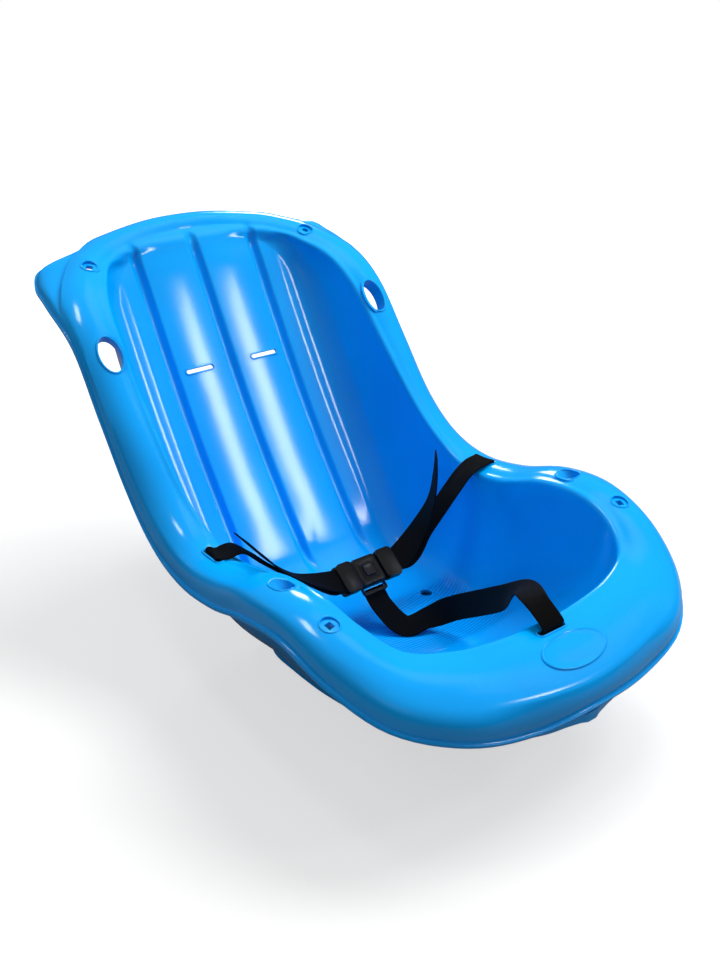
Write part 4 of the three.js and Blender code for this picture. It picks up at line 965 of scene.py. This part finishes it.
loop = buckleSlab("loop", upper + lower, closedLoop=True)
boolean(backCover, loop, "UNION")
for cover, node in ((frontCover, "buckle_front_cover"), (backCover, "buckle_back_cover")):
    cut(cover, buckleBlock("channel", (-40, 40), (-11.5, 11.5), (-2.2, 2.2)))
    sharpen(cover, 40)
    dress(cover, node, acetal, "sled")

press, top = housing["button"], housing["buttonTop"]
dish = top - housing["dish"]
button = buckleSlab("releaseButton", insetRows(press, press, [
    (0, 2.5, housing["buttonLow"]), (0, 2.5, top - 0.7), (0.3, 2.5, top - 0.25), (1, 2.3, top),
    (1.8, 2.2, top - 0.05), (3.5, 2, top - 0.35), (6, 1.5, dish + 0.1), (9, 0.8, dish),
    (press - 0.6, 0.15, dish)]))
sharpen(button, 45)
dress(button, "release_button", buttonAcetal, "button")


def buildTongue(side, name):
    t = tongue
    outline = roundOutline(t["length"], t["height"], t["corner"], 8) + (t["start"] + t["length"] / 2, 0)
    piece = prism(name + "Tongue", outline * (side, 1), -t["depth"] / 2, t["depth"] / 2, buckleFrame)
    for at in (first, second):
        x = sorted((side * (at - t["slot"] / 2), side * (at + t["slot"] / 2)))
        cut(piece, buckleBlock("slot", x, (-12.9, 12.9), (-10, 10)))
    for y in (-1, 1):
        prong = arr([(16.8, 8.2), (16.8, 11.2), (3.5, 11.2), (2.3, 9.7), (2.3, 8.2)]) * (side, y)
        boolean(piece, prism("prong", prong, -1.6, 1.6, buckleFrame), "UNION")
    # a rounded cover over the turned webbing, on a rail at each side
    low, high = t["cover"]["z"]
    start, reach = t["start"] + 0.4, t["cover"]["length"]
    cover = roundOutline(reach, t["height"], t["cover"]["corner"], 8) + (start + reach / 2, 0)
    boolean(piece, prism("cover", cover * (side, 1), low, high, buckleFrame), "UNION")
    for y in (-1, 1):
        rail = sorted((y * (t["height"] / 2 - t["cover"]["rail"]), y * t["height"] / 2))
        x = sorted((side * (start + 2.6), side * (start + reach - 4)))
        boolean(piece, buckleBlock("rail", x, rail, (-1, low + 0.5)), "UNION")
    fixNormals(piece)
    bevel(piece, 0.6, 3, 35)
    sharpen(piece, 40)
    dress(piece, name + "_tongue", acetal, name + "_tongue_body")


buildTongue(-1, "left")
buildTongue(1, "right")
for name in ("left_anchor_bar", "right_anchor_bar", "crotch_anchor_bar"):
    setMaterial(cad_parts[name], acetal)
setMaterial(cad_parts["button_spring"], springSteel)
print("buckle made")

# Floor and light
studio = {
    "paper": "#a8a8a8",        # with the glow it comes out white
    "paperBounce": "#808080",  # what the paper throws back on the object
    "glow": (0.6, 1.0),        # near the object and far from it
    "glowReach": (0.4, 1.6),   # metres
    "sky": (0.27, 0.06),       # overhead and at the horizon
    "floor": 12.0,             # metres from the middle to each side
    "lamps": [                 # position, aim, size, power, and whether it shows in reflections
        ((0.9, 0.3, 2.2), (0, 0, 0.15), (1.1, 0.9), 34, False),
        ((1.6, -0.6, 2.2), (0, 0.1, 0.15), (0.9, 0.9), 32, False),
        ((1.0, -1.26, 1.42), (0, 0.15, 0.2), (0.26, 0.3), 4, True),
        ((1.15, 1.45, 1.1), (0, 0, 0.25), (0.35, 0.45), 6, True),
        ((-0.5, 0.4, 2.2), (0, 0, 0.15), (0.5, 0.25), 5, True),
        ((1.86, -0.67, 1.0), (0, 0.15, 0.15), (0.2, 0.7), 4, False),
        ((-1.5, -1.6, 1.3), (0, 0, 0.15), (0.9, 0.7), 6, False),
        ((-1.2, 1.9, 1.3), (0, 0, 0.15), (0.9, 0.7), 9, False),
    ],
}


def buildSky():
    world = bpy.data.worlds.new("studio")
    bpy.context.scene.world = world
    world.use_nodes = True
    world.node_tree.nodes.clear()
    direction = addNode(world, "ShaderNodeTexCoord").outputs["Generated"]
    height = addNode(world, "ShaderNodeSeparateXYZ", {}, {"Vector": direction})
    high, low = studio["sky"]
    level = addNode(world, "ShaderNodeMapRange", {}, {"Value": height.outputs["Z"], "To Min": low, "To Max": high})
    path = addNode(world, "ShaderNodeLightPath")
    seen = addNode(world, "ShaderNodeMath", {"operation": "MAXIMUM"}, {
        0: path.outputs["Is Camera Ray"], 1: path.outputs["Is Transmission Ray"]})
    strength = addNode(world, "ShaderNodeMix", {"data_type": "FLOAT"}, {
        "Factor": seen.outputs[0], "A": level.outputs["Result"], "B": 1.0})
    shader = addNode(world, "ShaderNodeBackground", {}, {
        "Color": (1, 1, 1, 1), "Strength": strength.outputs["Result"]})
    output = addNode(world, "ShaderNodeOutputWorld")
    world.node_tree.links.new(shader.outputs[0], output.inputs["Surface"])


def studioPaper():  # white to the eye at any distance, with the object's shadow on it
    material = newMaterial("matteStudioPaper")
    seen = addNode(material, "ShaderNodeLightPath").outputs["Is Camera Ray"]
    colour = addNode(material, "ShaderNodeMix", {"data_type": "RGBA"}, {
        0: seen, 6: hexColour(studio["paperBounce"]), 7: hexColour(studio["paper"])})
    place = addNode(material, "ShaderNodeNewGeometry").outputs["Position"]
    far = addNode(material, "ShaderNodeVectorMath", {"operation": "LENGTH"}, {0: place})
    (near, away), (start, end) = studio["glow"], studio["glowReach"]
    level = addNode(material, "ShaderNodeMapRange", {"interpolation_type": "SMOOTHSTEP"}, {
        "Value": far.outputs["Value"], "From Min": start, "From Max": end, "To Min": near, "To Max": away})
    glow = addNode(material, "ShaderNodeMath", {"operation": "MULTIPLY"}, {0: seen, 1: level.outputs["Result"]})
    shader = addNode(material, "ShaderNodeBsdfPrincipled", {}, {
        "Base Color": colour.outputs[2], "Roughness": 0.9, "Specular IOR Level": 0.0,
        "Emission Color": (1, 1, 1, 1), "Emission Strength": glow.outputs[0]})
    return finishMaterial(material, shader)


def buildStudio():
    buildSky()
    corners = arr([(-1, -1, 0), (1, -1, 0), (1, 1, 0), (-1, 1, 0)]) * studio["floor"]
    floor = addMesh("floor", corners, [(0, 1, 2, 3)], smooth=False)
    floor.data.materials.append(studioPaper())
    for position, aim, extent, power, mirrored in studio["lamps"]:
        data = bpy.data.lights.new("softbox", "AREA")
        data.shape = "RECTANGLE"
        data.size, data.size_y = extent
        data.energy = power
        lamp = bpy.data.objects.new("softbox", data)
        lamp.location = position
        lamp.rotation_euler = (Vector(aim) - Vector(position)).to_track_quat("-Z", "Y").to_euler()
        lamp.visible_glossy = mirrored
        bpy.context.scene.collection.objects.link(lamp)


buildStudio()
bpy.context.scene.view_settings.view_transform = "Standard"
print("studio made")
